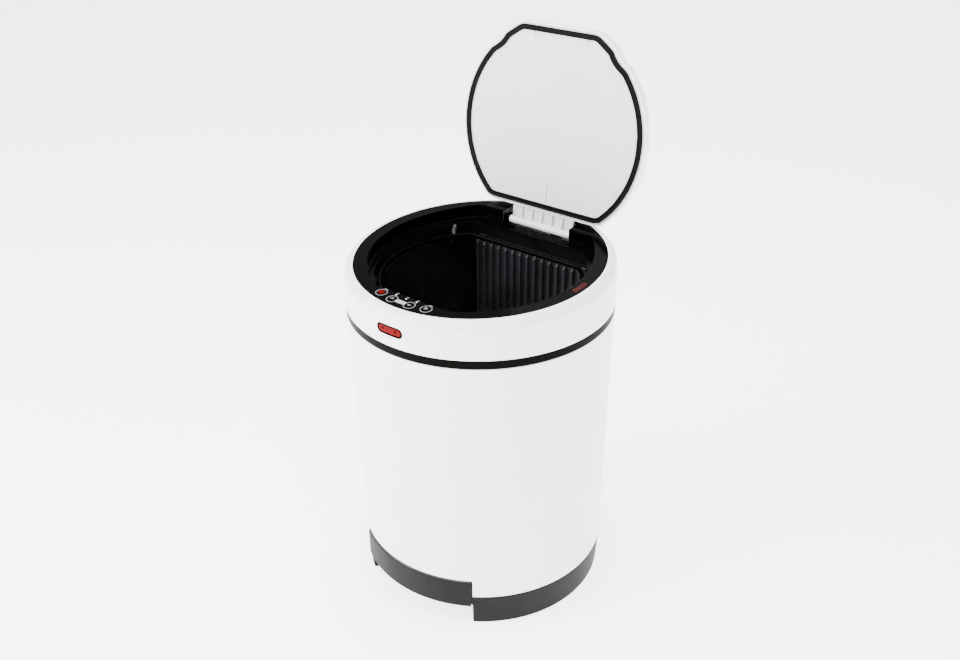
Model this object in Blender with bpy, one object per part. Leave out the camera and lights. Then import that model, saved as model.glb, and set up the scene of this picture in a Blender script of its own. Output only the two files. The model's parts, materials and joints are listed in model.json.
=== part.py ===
"""Round motion-sensor trash compactor: cabinet, lift-off head, powered lid and a swinging press plate.

Metres, +Z up, front is -Y. The origin is on the floor, on the axis of the round cabinet.
Every sub-part is its own object. Pieces that move have their origin on the axis of their joint.
"""

import math

import bmesh
import bpy
from mathutils import Matrix, Vector

# ---------------------------------------------------------------- driving dimensions
GAP = 0.0004            # air between pieces that seat on or in each other
RUN = 0.0010            # air round pieces that move
WALL = 0.0025           # moulded wall
ROUND_STEPS = 60        # sides of the large round mouldings

BASE_FOOT_R = 0.1999    # dark base ring, at the floor
BASE_TOP_R = 0.2037     # dark base ring, at its top
BASE_TOP_Z = 0.0575
BASE_LIFT = 0.0015      # underside of the base above the floor
PAD_R = 0.010
PAD_RING_R = 0.150
PAD_COUNT = 4

BODY_FOOT_R = 0.2040
BODY_TOP_R = 0.2100
SEAM_Z = 0.4880
SEAM_H = 0.0135
SEAM_R = 0.2106
SPIGOT_DEPTH = 0.016    # how far the head's black ring reaches down inside the body

HEAD_R = 0.2110
HEAD_EDGE_R = 0.1960    # where the white ring meets the black deck
HEAD_ROUND = 0.0150     # radius of the white ring's upper edge
DECK_AXIS_Z = SEAM_Z + 0.0814    # deck height on the cabinet's axis
DECK_TILT = math.radians(2.86)

HINGE_Y = 0.1600
HINGE_Z = SEAM_Z + 0.0710
LID_OPEN = math.radians(97.9)
LID_R = 0.1730
LID_FRONT = 0.1618      # straight front edge of the lid, from the cabinet's axis
LID_FRONT_HALF = 0.0745
LID_REAR = 0.1350       # straight rear edge of the lid, from the cabinet's axis
LID_T = 0.0180
LID_RIM = 0.0005        # lower rim of the lid above its sealing plane
PANEL_T = 0.0030
GASKET_PROUD = 0.0030
GASKET_OUT = 0.0055
GASKET_IN = 0.0140
LEDGE_DEPTH = 0.0180    # lid recess in the deck
OPENING_INSET = 0.0085
REAR_SWING = 0.0085     # extra room behind the lid's rear edge, which dips as the lid turns
SWING_FROM = 0.0600     # where that extra room begins, forward of the rear edge

HOPPER_R = 0.1745
HOPPER_REAR = HOPPER_R - 0.0400
HOPPER_FRONT = HOPPER_R - 0.0150
HOPPER_FOOT_Z = SEAM_Z - 0.2260
COLLAR_OUT = 0.0100

BAG_RING_OUT = HOPPER_R - 0.0145
BAG_RING_IN = BAG_RING_OUT - 0.0060
BAG_RING_REAR = HOPPER_REAR - 0.0175
BAG_RING_FRONT = HOPPER_FRONT - 0.0070
BAG_RING_Z = SEAM_Z + 0.0420
BAG_RING_H = 0.0065

BUCKET_R = 0.1600
BUCKET_FRONT = 0.1320
BUCKET_REAR = 0.1180
BUCKET_TOP_Z = SEAM_Z - 0.2400
BUCKET_TAPER = 0.0040

PRESS_Y = HOPPER_REAR - 0.0075
PRESS_Z = SEAM_Z - 0.2030
PRESS_LENGTH = DECK_AXIS_Z - PRESS_Z - 0.0444
PRESS_HALF = 0.1105
PRESS_T = 0.0035
RIB_COUNT = 15
RIB_PITCH = 0.0147
RIB_T = 0.0032
RIB_DEPTH = 0.0065
SHAFT_R = 0.0040
BARREL_R = 0.0068
BUSH_R = 0.0062
BUSH_LENGTH = 0.0170
SHAFT_HALF = 0.1290

PEDAL_ANGLE = math.radians(32.5)
PEDAL_R = 0.2068
PEDAL_T = 0.0070
PEDAL_Z = 0.0400
PEDAL_H = 0.0500
PEDAL_END_GAP = 0.0021
PEDAL_AXLE_Y = -0.1520
PEDAL_AXLE_Z = 0.0650
PEDAL_AXLE_R = 0.0030
PEDAL_ARM_X = 0.0700
PEDAL_ARM_W = 0.0080
PEDAL_ARM_H = 0.0085    # half height of an arm, and how far it reaches behind the axle
RECESS_HALF = 0.1135
RECESS_BACK = 0.1380
RECESS_TOP = 0.0975

SENSOR_Z = SEAM_Z + 0.0400
SENSOR_W = 0.0480
SENSOR_H = 0.0160
SENSOR_RIM = 0.0022

BUTTON_R = 0.0068
BUTTON_TRAVEL = 0.0010
BUTTON_PROUD = 0.0012
BUTTON_PLACES = {
    "power_button": (-0.0450, -0.1748),
    "open_button": (-0.0190, -0.1806),
    "close_button": (0.0140, -0.1810),
    "start_button": (0.0410, -0.1758),
}
LED_PLACES = ((-0.0220, -0.1682), (-0.0020, -0.1694), (0.0170, -0.1684))
LED_R = 0.0013
INDICATOR_ANGLE = math.radians(88.9)
INDICATOR_R = 0.1860
INDICATOR_W = 0.0330
INDICATOR_H = 0.0090

LID_MODULE = 0.0010
LID_GEAR_TEETH = 24
LID_PINION_TEETH = 12
LID_GEAR_X = 0.0780
LID_GEAR_W = 0.0060
PIN_R = 0.0030
LEAF_HALF = 0.0600
LEAF_BARREL_R = 0.0060
LEAF_T = 0.0040
LEAF_IN = 0.0560        # how far the leaf reaches from the hinge into the lid
POST_T = 0.0080

PRESS_MODULE = 0.0015
PRESS_GEAR_TEETH = 40
PRESS_PINION_TEETH = 12
PRESS_GEAR_W = 0.0080
PRESS_SWING = math.radians(105.0)

SOCKET_R = 0.0070
SOCKET_Z = SEAM_Z + 0.0380

COLOURS = {
    "white_gloss": ((0.86, 0.87, 0.89), 0.22, 0.0),
    "black_gloss": ((0.010, 0.010, 0.011), 0.15, 0.0),
    "black_satin": ((0.020, 0.019, 0.018), 0.45, 0.0),
    "dark_grey": ((0.075, 0.076, 0.074), 0.42, 0.0),
    "light_grey": ((0.74, 0.75, 0.77), 0.38, 0.0),
    "rubber": ((0.012, 0.012, 0.012), 0.70, 0.0),
    "steel": ((0.62, 0.63, 0.65), 0.30, 1.0),
    "red_lens": ((0.72, 0.015, 0.020), 0.18, 0.0),
    "dark_lens": ((0.12, 0.010, 0.012), 0.25, 0.0),
    "nylon": ((0.82, 0.80, 0.74), 0.50, 0.0),
    "board": ((0.02, 0.14, 0.05), 0.50, 0.0),
    "clear_led": ((0.85, 0.86, 0.88), 0.20, 0.0),
    "motor_steel": ((0.45, 0.46, 0.48), 0.35, 1.0),
}


# ---------------------------------------------------------------- making objects
def clear_scene():
    for old in list(bpy.data.objects):
        bpy.data.objects.remove(old, do_unlink=True)


def material(name):
    found = bpy.data.materials.get(name)
    if found:
        return found
    colour, roughness, metallic = COLOURS[name.rsplit("__", 1)[0]]
    made = bpy.data.materials.new(name)
    made.use_nodes = True
    shader = made.node_tree.nodes["Principled BSDF"]
    shader.inputs["Base Color"].default_value = (*colour, 1.0)
    shader.inputs["Roughness"].default_value = roughness
    shader.inputs["Metallic"].default_value = metallic
    return made


def place(name, shape, finish, origin=(0.0, 0.0, 0.0), tilt=0.0, local=False):
    """An object from a bmesh. World-space shapes are shifted so the origin can sit on a joint's axis."""
    bmesh.ops.recalc_face_normals(shape, faces=shape.faces)
    if not local:
        bmesh.ops.translate(shape, verts=shape.verts, vec=-Vector(origin))
    mesh = bpy.data.meshes.new(name)
    shape.to_mesh(mesh)
    shape.free()
    made = bpy.data.objects.new(name, mesh)
    bpy.context.scene.collection.objects.link(made)
    made.location = origin
    made.rotation_euler = (tilt, 0.0, 0.0)
    if finish:
        mesh.materials.append(material(f"{finish}__{name}"))
    mesh.shade_smooth()
    mesh.set_sharp_from_angle(angle=math.radians(35.0))
    return made


def combine(target, shape, operation):
    """Adds or cuts a shape, given in the target's own axes, with a Boolean that stays on the target."""
    count = len(target.modifiers)
    tool = place(f"tool_{target.name}_{count}", shape, None, target.location, target.rotation_euler.x, True)
    tool.hide_render = True
    tool.display_type = "WIRE"
    step = target.modifiers.new(f"{operation.lower()}_{count}", "BOOLEAN")
    step.operation = operation
    step.solver = "EXACT"
    step.object = tool


def cut(target, shape):
    combine(target, shape, "DIFFERENCE")


def add(target, shape):
    combine(target, shape, "UNION")


# ---------------------------------------------------------------- shapes
def skin(shape, loops, closed=False):
    """Joins equal loops of points in order. Open stacks are capped; closed ones are a ring."""
    rows = [[shape.verts.new(point) for point in loop] for loop in loops]
    count = len(rows[0])
    pairs = list(zip(rows, rows[1:]))
    if closed:
        pairs.append((rows[-1], rows[0]))
    for low, high in pairs:
        for i in range(count):
            j = (i + 1) % count
            shape.faces.new((low[i], low[j], high[j], high[i]))
    if not closed:
        shape.faces.new(rows[0][::-1])
        shape.faces.new(rows[-1])
    return shape


def stack(*loops):
    return skin(bmesh.new(), loops)


def ring(*loops):
    return skin(bmesh.new(), loops, closed=True)


def level(outline, z):
    return [(x, y, z) for x, y in outline]


def circle(radius, steps=ROUND_STEPS, centre=(0.0, 0.0), phase=0.0):
    turns = (phase + 2.0 * math.pi * i / steps for i in range(steps))
    return [(centre[0] + radius * math.cos(a), centre[1] + radius * math.sin(a)) for a in turns]


def offset(outline, distance):
    """Moves a counter-clockwise outline outwards, or inwards where the distance is negative."""
    moved = []
    count = len(outline)
    for i, point in enumerate(outline):
        before = (Vector(point) - Vector(outline[i - 1])).normalized()
        after = (Vector(outline[(i + 1) % count]) - Vector(point)).normalized()
        normal = Vector((before.y + after.y, -before.x - after.x)).normalized()
        lean = max(0.5, normal.dot(Vector((after.y, -after.x))))
        moved.append(tuple(Vector(point) + normal * distance / lean))
    return moved


def box(low, high):
    outline = ((low[0], low[1]), (high[0], low[1]), (high[0], high[1]), (low[0], high[1]))
    return stack(level(outline, low[2]), level(outline, high[2]))


def along_x(outline, low, high):
    """Extrudes an outline given in Y and Z along X."""
    return stack([(low, y, z) for y, z in outline], [(high, y, z) for y, z in outline])


def rod_x(radius, low, high, centre=(0.0, 0.0), steps=20):
    return along_x(circle(radius, steps, centre), low, high)


def tube_x(outer, inner, low, high, centre=(0.0, 0.0), steps=20):
    big = circle(outer, steps, centre)
    small = circle(inner, steps, centre)
    return ring(
        [(low, y, z) for y, z in big],
        [(high, y, z) for y, z in big],
        [(high, y, z) for y, z in small],
        [(low, y, z) for y, z in small],
    )


def rod_z(radius, low, high, centre=(0.0, 0.0), steps=20):
    outline = circle(radius, steps, centre)
    return stack(level(outline, low), level(outline, high))


def turned(profile, steps=ROUND_STEPS):
    """A ring turned about Z from a closed profile of radius and height."""
    return ring(*[level(circle(radius, steps), z) for radius, z in profile])


def merged(shapes):
    """Several shapes that do not touch, as one bmesh."""
    whole = bmesh.new()
    for shape in shapes:
        scratch = bpy.data.meshes.new("scratch")
        shape.to_mesh(scratch)
        shape.free()
        whole.from_mesh(scratch)
        bpy.data.meshes.remove(scratch)
    return whole


def mapped(shape, change):
    for vertex in shape.verts:
        vertex.co = change(vertex.co)
    return shape


def pill(width, height, steps=6, spans=6):
    """A slot-shaped outline about the origin, long way along X, with points along its straights."""
    reach = (width - height) / 2.0
    outline = []
    for side, start in ((reach, -90.0), (-reach, 90.0)):
        for i in range(steps + 1):
            a = math.radians(start + 180.0 * i / steps)
            outline.append((side + height / 2.0 * math.cos(a), height / 2.0 * math.sin(a)))
        for i in range(1, spans):
            outline.append((side - 2.0 * side * i / spans, outline[-1][1]))
    return outline


def deck_z(y):
    """Height of the deck's upper face, which rises to the rear."""
    return DECK_AXIS_Z + y * math.tan(DECK_TILT)


def on_deck(outline, depth=0.0):
    return [(x, y, deck_z(y) - depth) for x, y in outline]


def two_chords(radius, front, rear, steps=ROUND_STEPS):
    """A circle cut by a straight front (-Y) and a straight rear (+Y)."""
    front_turn = math.acos(front / radius)
    rear_turn = math.acos(rear / radius)
    right = math.pi - front_turn - rear_turn
    count = max(4, round(steps * right / (2.0 * math.pi)))
    turns = [-math.pi / 2.0 + front_turn + right * i / count for i in range(count + 1)]
    side = [(radius * math.cos(a), radius * math.sin(a)) for a in turns]
    return side + [(-x, y) for x, y in reversed(side)]


def gear(teeth, module, low, high, centre, phase, first=0, last=None):
    """A spur gear about an axis along X. Angles run from +Y towards +Z. A part gear keeps some teeth."""
    pitch_r = teeth * module / 2.0
    top, root = pitch_r + 0.85 * module, pitch_r - 1.20 * module
    turn = 2.0 * math.pi / teeth
    shares = ((root, -0.34), (top, -0.13), (top, 0.13), (root, 0.34))
    outline = []
    for tooth in range(teeth):
        kept = last is None or first <= tooth <= last
        for radius, share in shares:
            a = phase + (tooth + share) * turn
            reach = radius if kept else min(radius, BARREL_R + 0.004)
            outline.append((centre[0] + reach * math.cos(a), centre[1] + reach * math.sin(a)))
    return along_x(outline, low, high)


# ---------------------------------------------------------------- cabinet
def base_r(z):
    """Outer radius of the tapering base ring."""
    return BASE_FOOT_R + (BASE_TOP_R - BASE_FOOT_R) * z / BASE_TOP_Z


def body_r(z):
    """Outer radius of the tapering white body."""
    share = (z - BASE_TOP_Z) / (SEAM_Z - BASE_TOP_Z)
    return BODY_FOOT_R + (BODY_TOP_R - BODY_FOOT_R) * share


def front_arc(radius, half_turn, steps):
    """Points of an arc about Z, centred on the front."""
    turns = (-math.pi / 2.0 - half_turn + 2.0 * half_turn * i / steps for i in range(steps + 1))
    return [(radius * math.cos(a), radius * math.sin(a)) for a in turns]


def make_base():
    inside = BASE_TOP_R - 2.0 * WALL
    floor_top = BASE_LIFT + WALL
    top = BASE_TOP_Z - GAP
    outline = circle(1.0)
    loops = ((base_r(top), top), (base_r(BASE_LIFT), BASE_LIFT))
    outer = [level([(x * r, y * r) for x, y in outline], z) for r, z in loops]
    rows = ((inside - 0.004, floor_top), (inside, top))
    inner = [level([(x * r, y * r) for x, y in outline], z) for r, z in rows]
    base = place("base_moulding", stack(inner[0], inner[1], outer[0], outer[1]), "dark_grey")
    wall = RECESS_HALF + WALL
    housing_r = BASE_FOOT_R - WALL / 2.0
    half_turn = math.asin(wall / housing_r)
    block = front_arc(housing_r, half_turn, 14) + [(wall, -RECESS_BACK + WALL), (-wall, -RECESS_BACK + WALL)]
    add(base, stack(level(block, BASE_LIFT + GAP), level(block, RECESS_TOP + WALL)))
    end_turn = PEDAL_ANGLE + PEDAL_END_GAP / PEDAL_R
    far = BASE_TOP_R * 1.3
    near = inside - 2.0 * WALL
    right = [(RECESS_HALF, -RECESS_BACK), (RECESS_HALF, -near * math.cos(end_turn) + 2.0 * WALL)]
    right += [(r * math.sin(end_turn), -r * math.cos(end_turn)) for r in (near, far)]
    void = [(-x, y) for x, y in right] + right[::-1]
    cut(base, stack(level(void, -BASE_LIFT), level(void, RECESS_TOP)))
    for x in (-PEDAL_ARM_X - 0.013, PEDAL_ARM_X + 0.013):
        lug = box((x - 0.0035, PEDAL_AXLE_Y - 0.009, PEDAL_AXLE_Z - 0.009),
                  (x + 0.0035, -RECESS_BACK + WALL / 2.0, PEDAL_AXLE_Z + 0.009))
        add(base, lug)
    axle = (PEDAL_AXLE_Y, PEDAL_AXLE_Z)
    cut(base, rod_x(PEDAL_AXLE_R + GAP, -RECESS_HALF + 0.002, RECESS_HALF - 0.002, axle, 16))
    for x, y in pad_places():
        cut(base, rod_z(PAD_R + GAP, -BASE_LIFT, BASE_LIFT + 0.0014, (x, y), 16))
    for i, spot in enumerate(pad_places(), 1):
        place(f"floor_pad_{i}", rod_z(PAD_R, 0.0, BASE_LIFT + 0.0010, spot, 16), "rubber")


def pad_places():
    turns = (math.pi / 4.0 + math.pi / 2.0 * i for i in range(PAD_COUNT))
    return [(PAD_RING_R * math.cos(a), PAD_RING_R * math.sin(a)) for a in turns]


def make_body_shell():
    low, high = BASE_TOP_Z + GAP, SEAM_Z - GAP
    shell = turned((
        (body_r(high), high), (body_r(low), low),
        (body_r(low) - WALL, low), (body_r(high) - WALL, high),
    ))
    body = place("body_shell", shell, "white_gloss")
    end_turn = PEDAL_ANGLE + PEDAL_END_GAP / PEDAL_R
    outer = front_arc(BODY_TOP_R * 1.1, end_turn, 12)
    inner = front_arc(BODY_FOOT_R * 0.9, end_turn, 12)
    window = outer + inner[::-1]
    cut(body, stack(level(window, 0.0), level(window, PEDAL_Z + PEDAL_H + RUN)))


def make_pedal():
    """Press bar with two arms. Its origin is on the axle in the base."""
    axle = (0.0, PEDAL_AXLE_Y, PEDAL_AXLE_Z)
    outer = front_arc(PEDAL_R, PEDAL_ANGLE, 16)
    inner = front_arc(PEDAL_R - PEDAL_T, PEDAL_ANGLE, 16)
    soft = [(x * 0.991, y * 0.991) for x, y in outer]
    low, high = PEDAL_Z, PEDAL_Z + PEDAL_H
    shape = stack(level(outer + inner[::-1], low), level(outer + inner[::-1], high - 0.0022),
                  level(soft + inner[::-1], high))
    bar = place("pedal_bar", shape, "dark_grey", axle)
    reach = PEDAL_R - PEDAL_T / 2.0
    for x in (-PEDAL_ARM_X, PEDAL_ARM_X):
        front = -math.sqrt(reach ** 2 - x ** 2)
        half = PEDAL_ARM_W / 2.0
        arm = box((x - half, front - PEDAL_AXLE_Y, -PEDAL_ARM_H), (x + half, PEDAL_ARM_H, PEDAL_ARM_H))
        add(bar, arm)
        cut(bar, rod_x(PEDAL_AXLE_R + GAP, x - half - 0.002, x + half + 0.002, (0.0, 0.0), 16))
    place("pedal_axle", rod_x(PEDAL_AXLE_R, -PEDAL_ARM_X - 0.018, PEDAL_ARM_X + 0.018, axle[1:], 16), "steel")


def coil_x(radius, wire, low, high, turns, centre, legs):
    """A coil of wire about X whose ends run out in straight legs."""
    steps = 8
    path = []
    for i in range(turns * steps + 1):
        a = 2.0 * math.pi * i / steps
        x = low + (high - low) * i / (turns * steps)
        path.append(Vector((x, centre[0] + radius * math.cos(a), centre[1] + radius * math.sin(a))))
    path.insert(0, path[0] + Vector((0.0, 0.0, -legs)))
    path.append(path[-1] + Vector((0.0, 0.0, legs)))
    loops = []
    for i, point in enumerate(path):
        ahead = (path[min(i + 1, len(path) - 1)] - path[max(i - 1, 0)]).normalized()
        side = ahead.cross(Vector((1.0, 0.0, 0.0)))
        side = side.normalized() if side.length > 0.01 else Vector((0.0, 1.0, 0.0))
        up = side.cross(ahead)
        turns_round = (2.0 * math.pi * k / 6 for k in range(6))
        loops.append([point + wire * (side * math.cos(a) + up * math.sin(a)) for a in turns_round])
    return stack(*loops)


def make_pedal_works():
    centre = (PEDAL_AXLE_Y, PEDAL_AXLE_Z)
    wire = 0.0008
    spring = coil_x(PEDAL_AXLE_R + wire + 0.0009, wire, -0.010, 0.010, 4, centre, 0.010)
    place("pedal_spring", spring, "steel")
    back = -RECESS_BACK - GAP
    low = PEDAL_AXLE_Z + PEDAL_ARM_H + 0.0055
    body = box((PEDAL_ARM_X - 0.010, back - 0.0100, low), (PEDAL_ARM_X + 0.010, back, low + 0.0110))
    switch = place("pedal_switch", body, "black_satin")
    add(switch, box((PEDAL_ARM_X - 0.002, back - 0.0090, low - 0.0040),
                    (PEDAL_ARM_X + 0.002, back - 0.0050, low + 0.001)))


def make_bucket():
    """Lift-out waste bucket, D-shaped to clear the press works behind it."""
    low, high = BASE_LIFT + WALL + GAP, BUCKET_TOP_Z

    def outline(radius, inset):
        return two_chords(radius - inset, BUCKET_FRONT - inset, BUCKET_REAR - inset, 52)

    lip = 0.0030
    foot = BUCKET_R - BUCKET_TAPER
    bucket = stack(
        level(outline(foot, WALL), low + WALL),
        level(outline(BUCKET_R, WALL), high),
        level(outline(BUCKET_R, -lip), high),
        level(outline(BUCKET_R, -lip), high - 0.004),
        level(outline(BUCKET_R, 0.0), high - 0.004),
        level(outline(foot, 0.0), low),
    )
    made = place("waste_bucket", bucket, "black_satin")
    for side in (-1.0, 1.0):
        near, far = sorted((side * BUCKET_R * 0.9, side * BUCKET_R * 1.1))
        cut(made, box((near, -0.045, high - 0.040), (far, 0.045, high - 0.018)))


def make_cabinet():
    make_base()
    make_body_shell()
    make_pedal()
    make_pedal_works()
    make_bucket()


# ---------------------------------------------------------------- head
def lid_half():
    """Right half of the lid's edge seen from above, from the front middle to the rear middle."""
    front = [(0.0, -LID_FRONT), (LID_FRONT_HALF * 0.5, -LID_FRONT), (LID_FRONT_HALF - 0.006, -LID_FRONT)]
    corner = [(LID_FRONT_HALF + 0.003, -LID_FRONT + 0.0035), (LID_R * 0.595, -LID_R * 0.815)]
    dent = [(LID_R * 0.630, -LID_R * 0.757), (LID_R * 0.670, -LID_R * 0.717), (LID_R * 0.751, -LID_R * 0.665)]
    start = math.radians(-37.0)
    end = math.asin(LID_REAR / LID_R)
    count = 18
    turns = [start + (end - start) * i / count for i in range(count + 1)]
    side = [(LID_R * math.cos(a), LID_R * math.sin(a)) for a in turns]
    tail = [(side[-1][0] * 0.94, LID_REAR), (side[-1][0] * 0.5, LID_REAR), (0.0, LID_REAR)]
    side[-1] = (side[-1][0] * 0.992, side[-1][1] * 0.985)
    return front + corner + dent + side + tail


def lid_outline():
    half = lid_half()
    return half + [(-x, y) for x, y in half[-2:0:-1]]


def polar_match(outline, radius):
    """The points of a circle in the same directions as an outline's points."""
    matched = []
    for x, y in outline:
        reach = math.hypot(x, y)
        matched.append((x * radius / reach, y * radius / reach))
    return matched


def make_seam_ring():
    low, high = SEAM_Z, SEAM_Z + SEAM_H
    bore = HOPPER_R + WALL + RUN
    inside = body_r(SEAM_Z) - WALL - RUN
    place("seam_ring", turned((
        (SEAM_R, high), (SEAM_R, low), (inside, low), (inside, low - SPIGOT_DEPTH),
        (inside - WALL, low - SPIGOT_DEPTH), (inside - WALL, high - WALL), (bore, high - WALL), (bore, high),
    )), "black_satin")


def head_loops(outline):
    """Closed section of the white ring: up the outside, over the round edge and down inside."""
    low = SEAM_Z + SEAM_H + GAP
    loops = [level(polar_match(outline, HEAD_R), low)]
    for i in range(6):
        a = math.radians(90.0 * i / 5)
        radius = HEAD_R - HEAD_ROUND + HEAD_ROUND * math.cos(a)
        lift = HEAD_ROUND * (1.0 - math.sin(a))
        loops.append(on_deck(polar_match(outline, radius), lift))
    for i in range(4):
        a = math.radians(90.0 - 90.0 * i / 3)
        radius = HEAD_R - HEAD_ROUND + (HEAD_ROUND - WALL) * math.cos(a)
        lift = HEAD_ROUND - (HEAD_ROUND - WALL) * math.sin(a)
        loops.append(on_deck(polar_match(outline, radius), lift))
    loops.append(level(polar_match(outline, HEAD_R - WALL), low))
    return loops


def radial(outline, near, far, z):
    """Extrudes an outline, given across and up, from one depth to another along the front."""
    return stack([(x, -near, z + up) for x, up in outline], [(x, -far, z + up) for x, up in outline])


def bent(shape, radius):
    """Wraps a shape drawn at the front plane round the cabinet's axis at a radius."""
    def wrap(point):
        a = -math.pi / 2.0 + point.x / radius
        reach = -point.y
        return Vector((reach * math.cos(a), reach * math.sin(a), point.z))
    return mapped(shape, wrap)


def make_head_ring():
    outline = circle(1.0)
    head = place("head_ring", ring(*head_loops(outline)), "white_gloss")
    window = pill(SENSOR_W + 2.0 * GAP, SENSOR_H + 2.0 * GAP)
    cut(head, bent(radial(window, HEAD_R * 0.97, HEAD_R * 1.02, SENSOR_Z), HEAD_R))
    cut(head, along_y(SOCKET_R + GAP, HEAD_R * 0.97, HEAD_R * 1.02, (0.0, SOCKET_Z)))


def along_y(radius, low, high, centre, steps=16):
    outline = circle(radius, steps, centre)
    return stack([(x, low, z) for x, z in outline], [(x, high, z) for x, z in outline])


def make_sensor():
    outer, inner = pill(SENSOR_W, SENSOR_H), pill(SENSOR_W - 2.0 * SENSOR_RIM, SENSOR_H - 2.0 * SENSOR_RIM)
    near, far = HEAD_R - WALL - 0.0020, HEAD_R + 0.0006
    bezel = ring(
        [(x, -far, SENSOR_Z + z) for x, z in outer], [(x, -near, SENSOR_Z + z) for x, z in outer],
        [(x, -near, SENSOR_Z + z) for x, z in inner], [(x, -far, SENSOR_Z + z) for x, z in inner],
    )
    place("sensor_bezel", bent(bezel, HEAD_R), "black_gloss")
    lens = pill(SENSOR_W - 2.0 * SENSOR_RIM - 2.0 * GAP, SENSOR_H - 2.0 * SENSOR_RIM - 2.0 * GAP)
    place("sensor_lens", bent(radial(lens, HEAD_R - 0.0020, HEAD_R - 0.0002, SENSOR_Z), HEAD_R), "red_lens")
    for i, x in enumerate((-SENSOR_W * 0.27, SENSOR_W * 0.27), 1):
        cell = along_y(0.0030, -HEAD_R + 0.0038, -HEAD_R + 0.0078, (x, SENSOR_Z))
        place(f"sensor_cell_{i}", bent(cell, HEAD_R), "dark_lens")
    back = HEAD_R - 0.0094
    board = box((-0.026, -back, SENSOR_Z - 0.010), (0.026, -back + 0.0016, SENSOR_Z + 0.010))
    place("sensor_board", board, "board")


def recess_outline(lid):
    """The lid's edge with running room, set back toward the rear where the lid's edge swings through."""
    rear = LID_REAR - 4.0 * RUN

    def back(y):
        part = min(max((y - SWING_FROM) / (rear - SWING_FROM), 0.0), 1.0)
        return REAR_SWING * part * part

    return [(x, y + back(y)) for x, y in offset(lid, RUN)]


def make_deck():
    lid = lid_outline()
    recess, opening = recess_outline(lid), offset(lid, -OPENING_INSET)
    rim = polar_match(lid, HEAD_EDGE_R - GAP)
    ledge = LEDGE_DEPTH + GASKET_PROUD + GAP
    loops = (
        on_deck(rim), on_deck(recess), on_deck(recess, ledge), on_deck(opening, ledge),
        on_deck(opening, ledge + WALL), on_deck(offset(recess, WALL), ledge + WALL),
        on_deck(offset(recess, WALL), WALL), on_deck(rim, WALL),
    )
    deck = place("deck", ring(*loops), "black_gloss")
    slot = LEAF_HALF + POST_T - 0.0015
    cut(deck, box((-slot, LID_REAR - 0.004, HINGE_Z - 0.0030), (slot, HINGE_Y + 0.0135, DECK_AXIS_Z + 0.03)))
    for x, y in BUTTON_PLACES.values():
        cut(deck, on_deck_rod(BUTTON_R + GAP, x, y, -0.004, 0.006))
    for x, y in LED_PLACES:
        cut(deck, on_deck_rod(LED_R + GAP, x, y, -0.004, 0.006, 10))
    cut(deck, indicator_shape(GAP, -0.004, 0.006))


def on_deck_rod(radius, x, y, low, high, steps=20):
    """A round piece through the deck; low and high are depths below its face."""
    outline = circle(radius, steps, (x, y))
    return stack(on_deck(outline, high), on_deck(outline, low))


def indicator_shape(grow, low, high):
    outline = []
    for along, across in pill(INDICATOR_W + 2.0 * grow, INDICATOR_H + 2.0 * grow):
        a = -math.pi / 2.0 + INDICATOR_ANGLE + along / INDICATOR_R
        reach = INDICATOR_R - across
        outline.append((reach * math.cos(a), reach * math.sin(a)))
    return stack(on_deck(outline, high), on_deck(outline, low))


def make_controls():
    stem_depth = WALL + 0.0042
    for name, (x, y) in BUTTON_PLACES.items():
        origin = (x, y, deck_z(y))
        button = place(name, on_deck_rod(BUTTON_R, x, y, -BUTTON_PROUD, WALL + 0.0006), "black_gloss", origin)
        stem = rod_z(0.0022, -stem_depth, -WALL, (0.0, 0.0), 10)
        add(button, stem)
    for i, (x, y) in enumerate(LED_PLACES, 1):
        place(f"led_light_pipe_{i}", on_deck_rod(LED_R, x, y, -0.0003, WALL + 0.0055, 10), "clear_led")
    place("indicator_window", indicator_shape(0.0, -0.0003, WALL + 0.0010), "red_lens")
    depth = WALL + 0.0042 + BUTTON_TRAVEL + 0.0030
    outline = ((-0.056, -0.1865), (0.053, -0.1865), (0.060, -0.1700), (-0.060, -0.1700))
    top = on_deck(outline, depth)
    board = stack([(x, y, z - 0.0016) for x, y, z in top], top)
    place("control_board", board, "board")


def make_socket():
    near, far = HEAD_R - 0.014, HEAD_R - 0.0002
    outer, inner = circle(SOCKET_R, 16, (0.0, SOCKET_Z)), circle(SOCKET_R - 0.0028, 16, (0.0, SOCKET_Z))
    socket = stack(
        [(x, far - 0.011, z) for x, z in inner], [(x, far, z) for x, z in inner],
        [(x, far, z) for x, z in outer], [(x, near, z) for x, z in outer],
    )
    place("power_socket", socket, "black_satin")


def hopper_top(outline):
    return on_deck(outline, LEDGE_DEPTH + GASKET_PROUD + WALL + 2.0 * GAP)


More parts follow.
